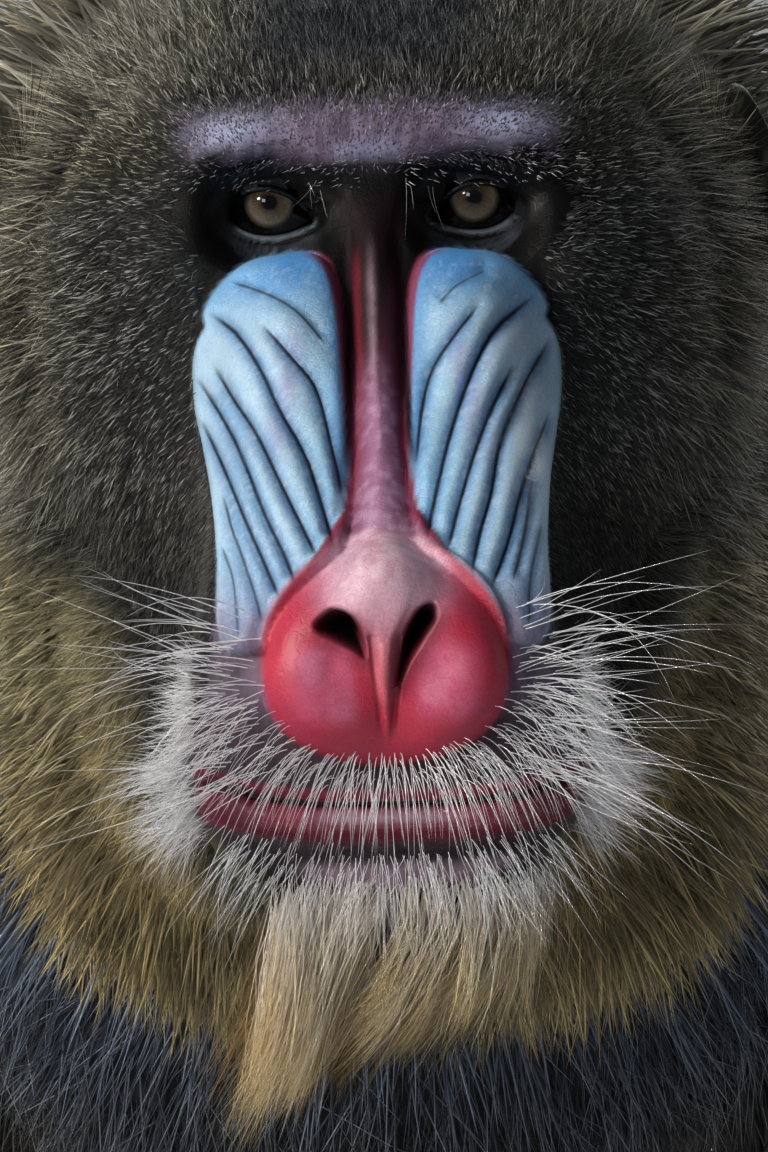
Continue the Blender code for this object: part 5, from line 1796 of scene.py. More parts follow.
@dataclass
class Limb:
    """One arm or leg as a run of ovals through its joints, with the digits at its end."""

    name: str
    side: int
    joints: tuple
    widths: tuple
    depths: tuple
    digit: tuple
    inner_digit: tuple
    lengths: tuple
    inner_setback: float
    hind: bool
    stride: float = 0.022
    set_back: float = 0.100
    coat_inset: float = 0.006
    palm_inset: float = 0.0004
    digit_spread: float = 0.052

    def path(self) -> np.ndarray:
        """The limb's bending points in world metres, root to end."""
        places = [np.array(point) * (self.side, 1, 1) + (0, self.set_back, 0) for point in self.joints]
        top, bend, low, end = places
        shift = np.array((0, self.stride * self.side * (-1 if self.hind else 1), 0))
        bend, low, end = bend - shift * 0.5, low - shift, end - shift
        s = self.side
        if self.hind:
            inner = [top + (-0.020 * s, 0.010, 0.040), top, (top + bend) / 2 + (0.010 * s, -0.004, 0), bend]
            return np.array(inner + [(bend + low) / 2 + (0, -0.010, 0), low, low + (0, 0.012, -0.068)])
        inner = [top + (-0.034 * s, 0.0, 0.045), top, (top + bend) / 2 + (0.008 * s, 0.004, 0), bend]
        return np.array(inner + [(bend + low) / 2 + (0, -0.004, 0), low, low * 0.45 + end * 0.55, end])

    def end(self) -> np.ndarray:
        """Where the digits spread from."""
        shift = self.stride * self.side * (-1 if self.hind else 1)
        place = np.array(self.joints[3]) * (self.side, 1, 1) + (0, self.set_back - shift, 0)
        return place + (0, 0.006 if self.hind else 0.008, 0)

    def form(self, steps: int = 40, sides: int = 28) -> Form:
        """The limb's surface under its coat.

        Args:
            steps: Rings along it.
            sides: Points in a ring.

        Returns:
            The surface.
        """
        path = spread(self.path(), steps)
        sizes = spread(np.c_[self.widths, self.depths], steps)
        bare = smoothstep(0.14, 0.06, path[:, 2])[:, None]
        sizes = sizes - self.coat_inset * (1 - bare) - self.palm_inset * bare
        return Form(path_rings(path, sizes[:, 0], sizes[:, 1], sides, (1, 0, 0)))

    def extremity(self) -> list[np.ndarray]:
        """Rings of the palm or sole and of each digit."""
        end = self.end()
        parts = []
        if self.hind:
            shift = self.stride * self.side * -1
            ankle = np.array(self.joints[2]) * (self.side, 1, 1) + (0, self.set_back - shift, 0)
            heel, ball = ankle + (0, 0.020, 0), end - (0, 0.006, 0)
            sole = [(heel[0], heel[1] + 0.012, 0.020), (heel[0], heel[1] - 0.006, 0.0228), (heel[0], heel[1] - 0.040, 0.026)]
            sole += [(ball[0], ball[1] + 0.035, 0.018), (ball[0], ball[1] - 0.004, 0.0108)]
            sizes = spread(np.c_[(0.012, 0.025, 0.027, 0.033, 0.033), (0.013, 0.025, 0.022, 0.0165, 0.0130)], 18)
            parts.append(path_rings(spread(sole, 18), sizes[:, 0], sizes[:, 1], 24, (1, 0, 0)))
        limb = self.form(60)
        parts.append(limb.rings[limb.rings[:, :, 2].mean(axis=1) < 0.135])
        length, radius = self.digit
        for i, longer in enumerate(self.lengths):
            across = (i - 1.5) * self.digit_spread / 3
            start = end + (across, 0.010 * abs(i - 1.5) / 1.5, 0)
            parts.append(self.finger(start, (across * 4.0, -1.0, 0), length * longer, radius))
        start = end + (-self.side * self.digit_spread * 0.62, self.inner_setback, 0)
        parts.append(self.finger(start, (-self.side * 0.75, -0.8, 0), *self.inner_digit))
        return parts

    @staticmethod
    def finger(start: np.ndarray, direction: tuple, length: float, radius: float) -> np.ndarray:
        """Rings of one digit that lies on the floor, with its knuckle and its pad.

        Args:
            start: Its root.
            direction: Where it points.
            length: Its length in metres.
            radius: Its half thickness.

        Returns:
            The rings.
        """
        heading = unit(np.array(direction, float))
        shares = np.linspace(-0.25, 1.0, 22)
        thick = radius * np.interp(shares, (-0.25, 0.25, 0.33, 0.50, 0.62, 0.85, 0.95, 1.0), (1.0, 0.98, 1.05, 0.90, 0.98, 0.92, 0.72, 0.30))
        rise = np.interp(shares, (-0.25, 0.28, 0.80, 1.0), (0.0030, 0.0045, -0.0022, -0.0011))
        path = start + heading * length * shares[:, None]
        path[:, 2] = thick + rise
        return path_rings(path, thick, thick, 14, (1, 0, 0))

    def nails(self) -> list[np.ndarray]:
        """Rings of the flat dark nail on each digit."""
        end = self.end()
        made = []
        length, radius = self.digit
        roots = []
        for i, longer in enumerate(self.lengths):
            across = (i - 1.5) * self.digit_spread / 3
            roots.append((end + (across, 0.010 * abs(i - 1.5) / 1.5, 0), (across * 4.0, -1.0, 0), length * longer, radius))
        start = end + (-self.side * self.digit_spread * 0.62, self.inner_setback, 0)
        roots.append((start, (-self.side * 0.75, -0.8, 0), *self.inner_digit))
        for start, direction, long, thick in roots:
            heading = unit(np.array(direction, float))
            shares = np.array((0.80, 0.86, 0.93, 0.99, 1.03))
            wide = thick * np.array((0.50, 0.72, 0.74, 0.60, 0.20))
            deep = thick * np.array((0.12, 0.20, 0.20, 0.16, 0.06))
            path = start + heading * long * shares[:, None]
            path[:, 2] = thick * np.array((1.72, 1.66, 1.48, 1.20, 0.98))
            made.append(path_rings(path, wide, deep, 12, (1, 0, 0)))
        return made


@dataclass
class Body:
    """Torso, neck, tail, rump pads and limbs under the coat."""

    inset: float = 0.008
    neck_inset: float = 0.008

    def limbs(self) -> list[Limb]:
        """The four limbs."""
        made = []
        for label, side in SIDES.items():
            made.append(Limb(
                f"arm_{label}", side, ((0.088, -0.140, 0.480), (0.122, -0.112, 0.305), (0.106, -0.160, 0.092), (0.108, -0.208, 0.017)),
                (0.044, 0.057, 0.047, 0.037, 0.032, 0.0235, 0.0310, 0.0350), (0.046, 0.066, 0.054, 0.041, 0.036, 0.0210, 0.0165, 0.0135),
                (0.058, 0.0078), (0.034, 0.0075), (0.86, 1.0, 0.97, 0.84), 0.030, False))
            made.append(Limb(
                f"leg_{label}", side, ((0.066, 0.190, 0.470), (0.124, 0.098, 0.315), (0.102, 0.238, 0.100), (0.106, 0.128, 0.012)),
                (0.048, 0.062, 0.055, 0.040, 0.034, 0.0235, 0.0210), (0.070, 0.088, 0.070, 0.049, 0.041, 0.0265, 0.0250),
                (0.052, 0.0080), (0.050, 0.0100), (0.88, 1.0, 0.96, 0.82), 0.052, True))
        return made

    def rings(self, rows: tuple, inset: float, count: int, sides: int, squareness: float) -> np.ndarray:
        """Rings across the body from a table of (back, top, bottom, half width).

        Args:
            rows: The table.
            inset: How far the skin lies inside it.
            count: Rings along it.
            sides: Points in a ring.
            squareness: How full its corners are.

        Returns:
            The rings.
        """
        table = spread(rows, count)
        angles = np.arange(sides) * 2 * np.pi / sides
        side, rise = np.sin(angles), np.cos(angles)
        side = np.sign(side) * np.abs(side) ** (2 / squareness)
        rise = np.sign(rise) * np.abs(rise) ** (2 / squareness)
        made = np.zeros((count, sides, 3))
        half = (table[:, 1] - table[:, 2]) / 2
        inner = np.minimum(inset, half * 0.5)
        made[:, :, 0] = (table[:, 3] - np.minimum(inset, table[:, 3] * 0.5))[:, None] * side
        middle = rows[len(rows) // 2][0]
        made[:, :, 1] = (middle + (table[:, 0] - middle) * 0.975)[:, None]
        made[:, :, 2] = ((table[:, 1] + table[:, 2]) / 2)[:, None] + (half - inner)[:, None] * rise
        return made

    def forms(self) -> dict[str, Form]:
        """The surfaces that carry a coat."""
        made = {"torso": Form(self.rings(TORSO_ROWS, self.inset, 60, 56, 2.25))}
        made["neck"] = Form(self.rings(NECK_ROWS, self.neck_inset, 24, 48, 2.1))
        for limb in self.limbs():
            made[limb.name] = limb.form()
        path = spread(((0, 0.350, 0.522), (0, 0.392, 0.545), (0, 0.412, 0.575), (0, 0.421, 0.602)), 18)
        radii = np.interp(np.linspace(0, 1, 18), (0, 0.5, 0.85, 1), (0.015, 0.0125, 0.010, 0.004))
        made["tail"] = Form(path_rings(path, radii, radii, 20, (1, 0, 0)))
        return made

    @staticmethod
    def pads() -> list[np.ndarray]:
        """Rings of the two bare pads of the rump."""
        made = []
        for side in (-1, 1):
            rows = []
            for turn in np.linspace(0.03, np.pi - 0.03, 16):
                around = np.arange(28) * 2 * np.pi / 28
                across = math.sin(turn) * np.sin(around) * 0.0205
                rise = math.sin(turn) * np.cos(around) * 0.0275
                rows.append(np.stack([side * 0.026 + across, np.full(28, 0.401 - 0.0115 * math.cos(turn)), 0.474 + rise], axis=1))
            made.append(np.array(rows))
        return made


@dataclass
class Studio:
    """Floor, lights and camera."""

    size: tuple = (768, 1152)
    frame_width: float = 0.165
    distance: float = 2.5
    elevation: float = math.radians(5.0)
    drop: float = 0.0801
    sensor: float = 36.0
    target: tuple = (0.0026, -0.325, 0.565)

    def build(self) -> None:
        """Makes all of it."""
        self.floor()
        self.lights()
        self.camera()

    def camera(self) -> None:
        """The camera, ahead of the face and a little above it."""
        data = bpy.data.cameras.new("camera")
        data.sensor_fit = "HORIZONTAL"
        data.sensor_width = self.sensor
        data.lens = self.sensor * self.distance / self.frame_width
        data.clip_end = 50.0
        made = bpy.data.objects.new("camera", data)
        bpy.context.scene.collection.objects.link(made)
        away = Vector((0, -math.cos(self.elevation), math.sin(self.elevation)))
        turn = (-away).to_track_quat("-Z", "Y")
        up = turn @ Vector((0, 1, 0))
        made.location = Vector(self.target) + away * self.distance - up * self.drop
        made.rotation_euler = turn.to_euler()
        bpy.context.scene.camera = made

    def floor(self) -> None:
        """A pale matt floor."""
        reach = 40.0
        points = np.array(((-reach, -reach, 0), (reach, -reach, 0), (reach, reach, 0), (-reach, reach, 0)), float)
        made = mesh_object("floor", points, [np.array([[0, 1, 2, 3]])])
        finish, tree, shader = new_material("pale_matt_floor")
        place = add_node(tree, "ShaderNodeTexCoord")
        grain = add_node(tree, "ShaderNodeTexNoise", {"Scale": 30.0, "Detail": 4.0}, {"Vector": place.outputs["Object"]})
        tone = add_node(tree, "ShaderNodeMapRange", {"To Min": 0.66, "To Max": 0.74}, {"Value": grain.outputs["Fac"]})
        path = add_node(tree, "ShaderNodeLightPath")
        lift = add_node(tree, "ShaderNodeMath", {"operation": "MULTIPLY", 1: 0.34}, {0: path.outputs["Is Camera Ray"]})
        tree.links.new(tone.outputs["Result"], shader.inputs["Base Color"])
        tree.links.new(lift.outputs["Value"], shader.inputs["Emission Strength"])
        shader.inputs["Emission Color"].default_value = (*linear("#dfe3e6"), 1)
        shader.inputs["Roughness"].default_value = 0.85
        made.data.materials.append(finish)

    def lights(self) -> None:
        """A large soft key from the upper left, a weak fill and a rim from behind."""
        world = bpy.data.worlds.new("studio")
        bpy.context.scene.world = world
        world.use_nodes = True
        tree = world.node_tree
        sky = tree.nodes["Background"]
        sky.inputs["Color"].default_value = (*linear("#c9d2dc"), 1)
        sky.inputs["Strength"].default_value = 0.14
        seen = add_node(tree, "ShaderNodeBackground", {"Color": (*linear("#8f959a"), 1), "Strength": 0.8})
        path = add_node(tree, "ShaderNodeLightPath")
        mix = add_node(tree, "ShaderNodeMixShader", {}, {0: path.outputs["Is Camera Ray"], 1: sky.outputs[0], 2: seen.outputs[0]})
        tree.links.new(mix.outputs[0], tree.nodes["World Output"].inputs["Surface"])
        for name, place, size, power, spread_deg, code in (
            ("key", (-1.80, -1.20, 1.55), 0.6, 30.0, 180, "#fff8ee"),
            ("face_key", (-1.45, -1.75, 1.50), 0.5, 0.285, 11, "#fff8ee"),
            ("front", (-0.95, -2.25, 1.40), 0.5, 5.0, 180, "#f1f5ff"),
            ("rim", (0.9, 1.9, 1.7), 1.2, 28.0, 180, "#ffffff"),
        ):
            data = bpy.data.lights.new(name, "AREA")
            data.energy = power
            data.size = size
            data.spread = math.radians(spread_deg)
            data.color = linear(code)
            made = bpy.data.objects.new(name, data)
            bpy.context.scene.collection.objects.link(made)
            made.location = place
            made.rotation_euler = (Vector(place) - Vector((-0.040, -0.36, 0.525))).to_track_quat("Z", "Y").to_euler()


@dataclass
class Ruff:
    """The full yellow ruff of cheeks and throat: the thick under layer that its hairs stand on."""

    head: HeadFrame
    marks: Markings
    middle: tuple = (0.0, 82.0, -87.0)
    half: tuple = (79.0, 72.0, 77.0)
    fullness: float = 3.0
    fluff: float = 5.0
    fluff_size: float = 15.0
    rows: int = 64
    sides: int = 110

    def form(self) -> Form:
        """The ruff's surface, ring by ring from its front out to its rim and round to the back."""
        turn = np.linspace(0.05, np.pi - 0.05, self.rows)[:, None]
        around = np.arange(self.sides) * 2 * np.pi / self.sides
        square = (np.abs(np.sin(around)) ** self.fullness + np.abs(np.cos(around)) ** self.fullness) ** (-1 / self.fullness)
        reach = np.sin(turn) ** 0.8
        points = np.stack([
            self.half[0] * reach * (np.sin(around) * square)[None],
            np.broadcast_to(-self.half[1] * np.cos(turn), (self.rows, self.sides)),
            self.half[2] * reach * (np.cos(around) * square)[None],
        ], axis=-1) + self.middle
        puff = mottle(points.reshape(-1, 3), self.fluff_size, 70).reshape(points.shape[:2]) - 0.5
        points += unit(points - self.middle) * (puff * self.fluff)[..., None]
        return Form(self.head.world(points))

    def build(self, finish: bpy.types.Material) -> bpy.types.Object:
        """Makes the under layer.

        Args:
            finish: Its material.

        Returns:
            The piece.
        """
        made = ring_object("ruff_underfur", self.form().rings)
        points, normals = mesh_points(made), mesh_normals(made)
        root, tip = self.marks.coat(points, normals)
        speck = smoothstep(0.35, 0.8, mottle(points / MM, 3.0, 9))[:, None]
        tint(made, "coat", root * 0.75 + tip * 0.25 * speck)
        made.data.materials.append(finish)
        return made


@dataclass
class Pelt:
    """Sets hairs on the finished skin, tract by tract."""

    skin: bpy.types.Object
    head: HeadFrame
    form: HeadForm
    marks: Markings
    body: dict
    unruly: float = 0.22
    ear_place: tuple = (84.0, 74.0, 2.0)
    ear_reach: float = 15.0
    fine_edge: float = 0.55

    def __post_init__(self) -> None:
        """Reads the skin's surface once."""
        self.tree = BVHTree.FromObject(self.skin, bpy.context.evaluated_depsgraph_get())
        self.trees = {}
        self.rng = np.random.default_rng(SEED)
        last = len(HEAD_ROWS) - 1
        rings = self.form.outline_rings(np.linspace(0.3, last, 110), 160)
        self.form.shape(rings)
        self.head_form = Form(self.head.world(rings))

    def add_ground(self, name: str, ground: bpy.types.Object) -> None:
        """Lets tracts of this form's name grow on an object of their own.

        Args:
            name: The form's name.
            ground: The object.
        """
        self.trees[name] = BVHTree.FromObject(ground, bpy.context.evaluated_depsgraph_get())

    def outside_skin(self, points: np.ndarray) -> np.ndarray:
        """Which places lie outside the skin.

        Args:
            points: World metres.

        Returns:
            A flag for each place.
        """
        roots, normals, _ = self.on_skin(points, 1.0)
        return ((points - roots) * normals).sum(axis=1) > 0

    def on_skin(self, points: np.ndarray, reach: float, tree: BVHTree | None = None) -> tuple[np.ndarray, np.ndarray, np.ndarray]:
        """The nearest places of the skin, or of another surface.

        Args:
            points: World metres.
            reach: How far off the surface a point may be.
            tree: The other surface.

        Returns:
            Roots, normals, and which of the points are near enough.
        """
        found = [(tree or self.tree).find_nearest(Vector(point)) for point in points]
        roots = np.array([hit[0] for hit in found])
        normals = np.array([hit[1] for hit in found])
        apart = np.array([hit[3] for hit in found])
        return roots, normals, apart < reach

    def head_lie(self, points: np.ndarray) -> np.ndarray:
        """Which way the head's coat lies: away from the eyes, back and down.

        Args:
            points: World metres.

        Returns:
            World directions.
        """
        local = self.head.local(points)
        x, y, z = local.T
        away_x = x - 0.75 * np.clip(x, -32, 32)
        away_z = z - np.clip(z, -20, 2) * 0.6
        length = np.hypot(away_x, away_z) + 6
        lie = np.stack([away_x / length, np.full(len(x), 0.55), away_z / length], axis=1)
        down = smoothstep(-35, -100, z) * 0.9
        lie[:, 2] -= down + 0.25 * smoothstep(40, 110, y)
        lie[:, 1] += 0.6 * smoothstep(30, 90, y)
        return self.head.aim(lie)

    def grow(self, tract: "Tract", finish: bpy.types.Material) -> bpy.types.Object:
        """Grows one tract of the coat.

        Args:
            tract: What grows there.
            finish: Its material.

        Returns:
            The piece.
        """
        surface = self.head_form if tract.on_head else self.body[tract.form]
        middles = sum(surface.corner) / 4
        flat = middles.reshape(-1, 3)
        local = self.head.local(flat)
        gap = self.marks.bare(local)
        density = tract.density(flat, local, gap).reshape(surface.area.shape)
        points, along, patch = surface.scatter(tract.count, np.clip(density, 0, None), self.rng)
        ground = self.trees.get(tract.form)
        roots, normals, near = self.on_skin(points, 0.016 if tract.on_head else 0.010, ground)
        if ground:
            near &= self.outside_skin(points)
        roots, normals, along, patch = roots[near], normals[near], along[near], patch[near]
        local = self.head.local(roots)
        gap = self.marks.bare(local)
        if tract.on_head:
            ear = np.linalg.norm(np.c_[np.abs(local[:, 0]), local[:, 1:]] - self.ear_place, axis=1)
            keep = (gap > tract.edge) & (local[:, 1] < 106) & (ear > self.ear_reach)
            roots, normals, along, patch, local, gap = (a[keep] for a in (roots, normals, along, patch, local, gap))
            lie = self.head_lie(roots) + np.array((0.0, -0.45, -1.0)) * tract.hang
            lie[:, 0] += np.sign(local[:, 0]) * tract.flare
        else:
            lie = along + np.array(tract.sag)
        count = len(roots)
        wave = np.stack([mottle(roots / MM, tract.clump, 20 + axis) for axis in range(3)], axis=1) - 0.5
        lie = unit(lie) + wave * tract.wave + self.rng.normal(0, self.unruly, (count, 3))
        length = tract.length(roots, local, gap) * MM * self.rng.uniform(0.72, 1.2, count)
        if tract.on_head:
            ear = np.linalg.norm(np.c_[np.abs(local[:, 0]), local[:, 1:]] - self.ear_place, axis=1)
            length *= tract.by_ear + (1 - tract.by_ear) * smoothstep(self.ear_reach, 2.4 * self.ear_reach, ear)
        width = tract.width * MM * self.rng.uniform(0.7, 1.3, count)
        if tract.on_head:
            width *= self.fine_edge + (1 - self.fine_edge) * smoothstep(0, 14, gap)
        lift = np.radians(tract.lift) * self.rng.uniform(0.5, 1.5, count)
        droop = np.array((0, 0, -1.0)) * (length * tract.droop)[:, None]
        inward = -normals * (length * 0.08 * (length > 0.006))[:, None]
        root, tip = self.marks.coat(roots, normals)
        rarity = tract.rarity * (1 + 0.9 * smoothstep(46, 4, gap) * tract.on_head)
        tone = tract.dark + (1 - tract.dark) * tract.ticks * self.rng.random(count) ** rarity
        lilac = smoothstep(25, 19, local[:, 2]) * smoothstep(6, 9, local[:, 2]) * smoothstep(46, 38, np.abs(local[:, 0])) * (local[:, 1] < 20)
        tone = np.maximum(tone, 0.42 * lilac * tract.on_head)
        hairs = Hairs(
            roots, normals, lie, length, width, lift, droop + inward,
            root * self.rng.uniform(0.6, 1.2, count)[:, None], np.clip(tip * tone[:, None], 0, 1), patch,
        )
        return Coat(tract.name, tract.cut).build(hairs, finish)


@dataclass
class Tract:
    """One stretch of coat and how its hairs are."""

    name: str
    cut: Cut
    count: int
    density: object
    length: object
    width: float
    lift: float
    form: str = ""
    edge: float = 0.4
    droop: float = 0.08
    dark: float = 0.35
    clump: float = 3.0
    wave: float = 0.7
    sag: tuple = (0.0, 0.0, -0.3)
    hang: float = 0.0
    flare: float = 0.0
    by_ear: float = 0.3
    ticks: float = 2.6
    rarity: float = 3.0

    @property
    def on_head(self) -> bool:
        """Whether it grows on the head's own surface."""
        return not self.form


def head_tracts() -> list[Tract]:
    """The tracts of the head, from the short hair of the face to the ruff."""
    made = []
    for label, side in SIDES.items():
        made.append(Tract(
            f"face_coat_{label}", Cut.SPIKE, 40000,
            lambda p, q, g, s=side: (s * q[:, 0] > -0.5) * smoothstep(-1.5, 0.5, g) * smoothstep(58, 22, g) * smoothstep(-135, -115, q[:, 2])
            * (1 - 0.45 * smoothstep(26, 18, q[:, 2]) * smoothstep(3, 8, q[:, 2]) * smoothstep(46, 38, np.abs(q[:, 0])) * (q[:, 1] < 20)),
            lambda p, q, g: (2.4 + 3.2 * smoothstep(6, 42, g)) * (1 - 0.5 * smoothstep(25, 18, q[:, 2]) * smoothstep(3, 8, q[:, 2])
                                                                 * smoothstep(46, 38, np.abs(q[:, 0])))
            + 6 * smoothstep(54, 74, np.abs(q[:, 0])),
            0.46, 28, edge=-1.0, clump=3.2, wave=0.55, ticks=2.2, rarity=5.0, dark=0.07))
        made.append(Tract(
            f"cheek_coat_{label}", Cut.SPIKE, 30000,
            lambda p, q, g, s=side: (s * q[:, 0] > 0) * smoothstep(14, 38, g) * smoothstep(60, 30, q[:, 2]) * smoothstep(105, 60, q[:, 1]),
            lambda p, q, g: 5.5 + 6 * smoothstep(20, 60, g) + 16 * smoothstep(15, 75, q[:, 1]) + 3 * smoothstep(-50, -110, q[:, 2])
            + 6 * smoothstep(54, 74, np.abs(q[:, 0])),
            0.52, 28, clump=4.0, wave=0.6, ticks=2.2, rarity=4.0, dark=0.11))
    made.append(Tract(
        "ruff_coat_front", Cut.SPIKE, 37000,
        lambda p, q, g: smoothstep(70, 50, q[:, 1]) * smoothstep(-15, -50, q[:, 2]) * smoothstep(22, 34, np.abs(q[:, 0]) + 0.8 * np.clip(-140 - q[:, 2], 0, 40)),
        lambda p, q, g: 8 + 6 * smoothstep(-100, -150, q[:, 2]), 0.50, 22, form="ruff", sag=(0, -0.05, -0.55), clump=6.0, wave=1.1,
        ticks=2.4, rarity=2.0, dark=0.42))
    made.append(Tract(
        "ruff_coat_rim", Cut.NEEDLE, 16000,
        lambda p, q, g: smoothstep(30, 50, q[:, 1]) * smoothstep(160, 140, q[:, 1]) * smoothstep(-20, -60, q[:, 2]),
        lambda p, q, g: 15 + 13 * smoothstep(-100, -150, q[:, 2]) + 10 * smoothstep(80, 120, q[:, 1]), 0.66, 36, form="ruff", sag=(0, 0, -0.5), clump=7.0, wave=1.0, droop=0.15))
    made.append(Tract(
        "crown_coat", Cut.SPIKE, 31000,
        lambda p, q, g: smoothstep(22, 40, q[:, 2] + 0.15 * q[:, 1]) * smoothstep(110, 90, q[:, 1]),
        lambda p, q, g: 6 + 14 * smoothstep(10, 90, q[:, 1]) + 20 * smoothstep(36, 66, np.abs(q[:, 0])) * smoothstep(15, 65, q[:, 1]),
        0.50, 27, edge=12, droop=0.0, clump=4.5, wave=0.6, ticks=2.2, rarity=4.0, dark=0.11))
    made.append(Tract(
        "temple_coat", Cut.SPIKE, 9000,
        lambda p, q, g: smoothstep(58, 68, np.abs(q[:, 0])) * smoothstep(20, 32, q[:, 1]) * smoothstep(76, 64, q[:, 1])
        * smoothstep(-40, -28, q[:, 2]) * smoothstep(46, 36, q[:, 2]),
        lambda p, q, g: np.full(len(g), 23.0), 0.55, 44, droop=0.2, clump=5.0, wave=0.9, ticks=2.0, rarity=4.0, dark=0.10, by_ear=1.0))
    return made


def body_tracts(limbs: list[Limb]) -> list[Tract]:
    """The tracts of the neck, torso, limbs and tail."""
    made = [
        Tract("mane_coat", Cut.NEEDLE, 15000, lambda p, q, g: np.ones(len(p)), lambda p, q, g: np.full(len(p), 60.0), 1.2, 38, "neck",
              clump=9.0, sag=(0, 0, -0.15), droop=0.12),
        Tract("chest_coat", Cut.SPIKE, 30000, lambda p, q, g: smoothstep(0.10, 0.02, p[:, 1]) + 0.2 * smoothstep(0.2, 0.1, p[:, 1]),
              lambda p, q, g: np.full(len(p), 26.0), 0.62, 20, "torso", clump=7.0, wave=1.3, sag=(0, 0, -0.7), ticks=3.6, rarity=3.0, dark=0.22),
        Tract("back_coat", Cut.NEEDLE, 19000, lambda p, q, g: smoothstep(-0.02, 0.08, p[:, 1]) * smoothstep(0.405, 0.385, p[:, 1]),
              lambda p, q, g: 44 - 22 * smoothstep(0.25, 0.38, p[:, 1]), 1.7, 16, "torso", clump=10.0, sag=(0, 0, -0.35)),
        Tract("tail_coat", Cut.NEEDLE, 2200, lambda p, q, g: np.ones(len(p)), lambda p, q, g: np.full(len(p), 20.0), 1.2, 20, "tail",
              sag=(0, 0, 0), droop=0.0),
    ]
    for limb in limbs:
        made.append(Tract(
            f"{limb.name}_coat", Cut.NEEDLE, 8500, lambda p, q, g: smoothstep(0.050, 0.085, p[:, 2]) * (0.5 + smoothstep(0.3, 0.1, p[:, 2])),
            lambda p, q, g: 7 + 21 * smoothstep(0.07, 0.35, p[:, 2]), 1.5, 14, limb.name, clump=6.0, sag=(0, 0, 0)))
    return made


@dataclass
class Beard:
    """The pointed beard of the chin, whose strands draw together to the animal's right."""

    pelt: Pelt
    count: int = 9300
    locks: int = 80

    def build(self, finish: bpy.types.Material) -> bpy.types.Object:
        """Makes the beard.

        Args:
            finish: Its material.

        Returns:
            The piece.
        """
        rng, head = self.pelt.rng, self.pelt.head
        surface = self.pelt.head_form
        local = head.local((sum(surface.corner) / 4).reshape(-1, 3))
        x, y, z = local.T
        density = smoothstep(-140, -147, z) * smoothstep(-27, -20, x) * smoothstep(37, 31, x) * smoothstep(-18, -36, y)
        points, _, patch = surface.scatter(self.count, density.reshape(surface.area.shape), rng)
        roots, normals, _ = self.pelt.on_skin(points, 0.02)
        local = head.local(roots)
        x, y, z = local.T
        lock_root = np.stack([rng.uniform(-24, 33, self.locks), rng.uniform(-84, -36, self.locks)], axis=1)
        away = np.hypot((x[:, None] - lock_root[None, :, 0]) * 1.5, (y[:, None] - lock_root[None, :, 1]) * 0.7)
        mine = np.argmin(away + rng.exponential(2.0, away.shape), axis=1)
        share_x = (lock_root[:, 0] + 24) / 57
        lock_tip = np.stack([
            -34 + 62 * share_x**1.45 + rng.normal(0, 3.2, self.locks),
            -80 + 0.60 * (lock_root[:, 1] + 84) + rng.normal(0, 5, self.locks),
            np.interp(share_x, (0, 0.2, 0.45, 0.75, 1), (-204, -197, -189, -182, -175)) + 14 * rng.random(self.locks) ** 2,
        ], axis=1)
        shade = rng.uniform(0.82, 1.05, self.locks)[mine]
        sway = rng.normal(0, 1, (self.locks, 3))[mine]
        tips_at = lock_tip[mine] + rng.normal(0, 1, (len(x), 3)) * (2.4, 2.5, 2.0)
        share = rng.uniform(0.22, 1.03, len(x)) ** 0.7
        tips = local + (tips_at - local) * share[:, None]
        span = head.world(tips) - roots
        length = np.linalg.norm(span, axis=1)
        strand = rng.normal(0, 0.11, span.shape)
        heading = unit(unit(span) + 0.45 * normals + head.aim(sway * (0.34, 0.14, 0.0) + (0.42, 0.0, 0.0)) + strand)
        flat = unit(heading - normals * (heading * normals).sum(axis=1, keepdims=True))
        lift = np.arcsin(np.clip((heading * normals).sum(axis=1), -1, 1))
        bend = span - (flat * np.cos(lift)[:, None] + normals * np.sin(lift)[:, None]) * length[:, None]
        root, tip = Layers(len(x), "#ece8e2"), Layers(len(x), "#e2c988")
        tip.paint("#fbf3dc", smoothstep(0.0, 0.16, strand[:, 0]) * 0.85)
        tip.paint("#b98d40", smoothstep(0.0, -1.4, sway[:, 2]) * 0.7)
        # Painted shade: strands further back under the chin are darker at root and tip.
        root.paint("#9c8560", smoothstep(-60, -40, y) * 0.8)
        tip.paint("#8a7248", smoothstep(-66, -44, y) * 0.7)
        tone = (rng.uniform(0.72, 1.2, len(x)) * shade)[:, None]
        width = rng.uniform(0.16, 0.34, len(x)) * MM
        colours = (np.clip(root.rgb * tone, 0, 1), np.clip(tip.rgb * tone, 0, 1))
        hairs = Hairs(roots, normals, flat, length, width, lift, bend, *colours, patch)
        return Coat("beard_coat", Cut.STRAND).build(hairs, finish)


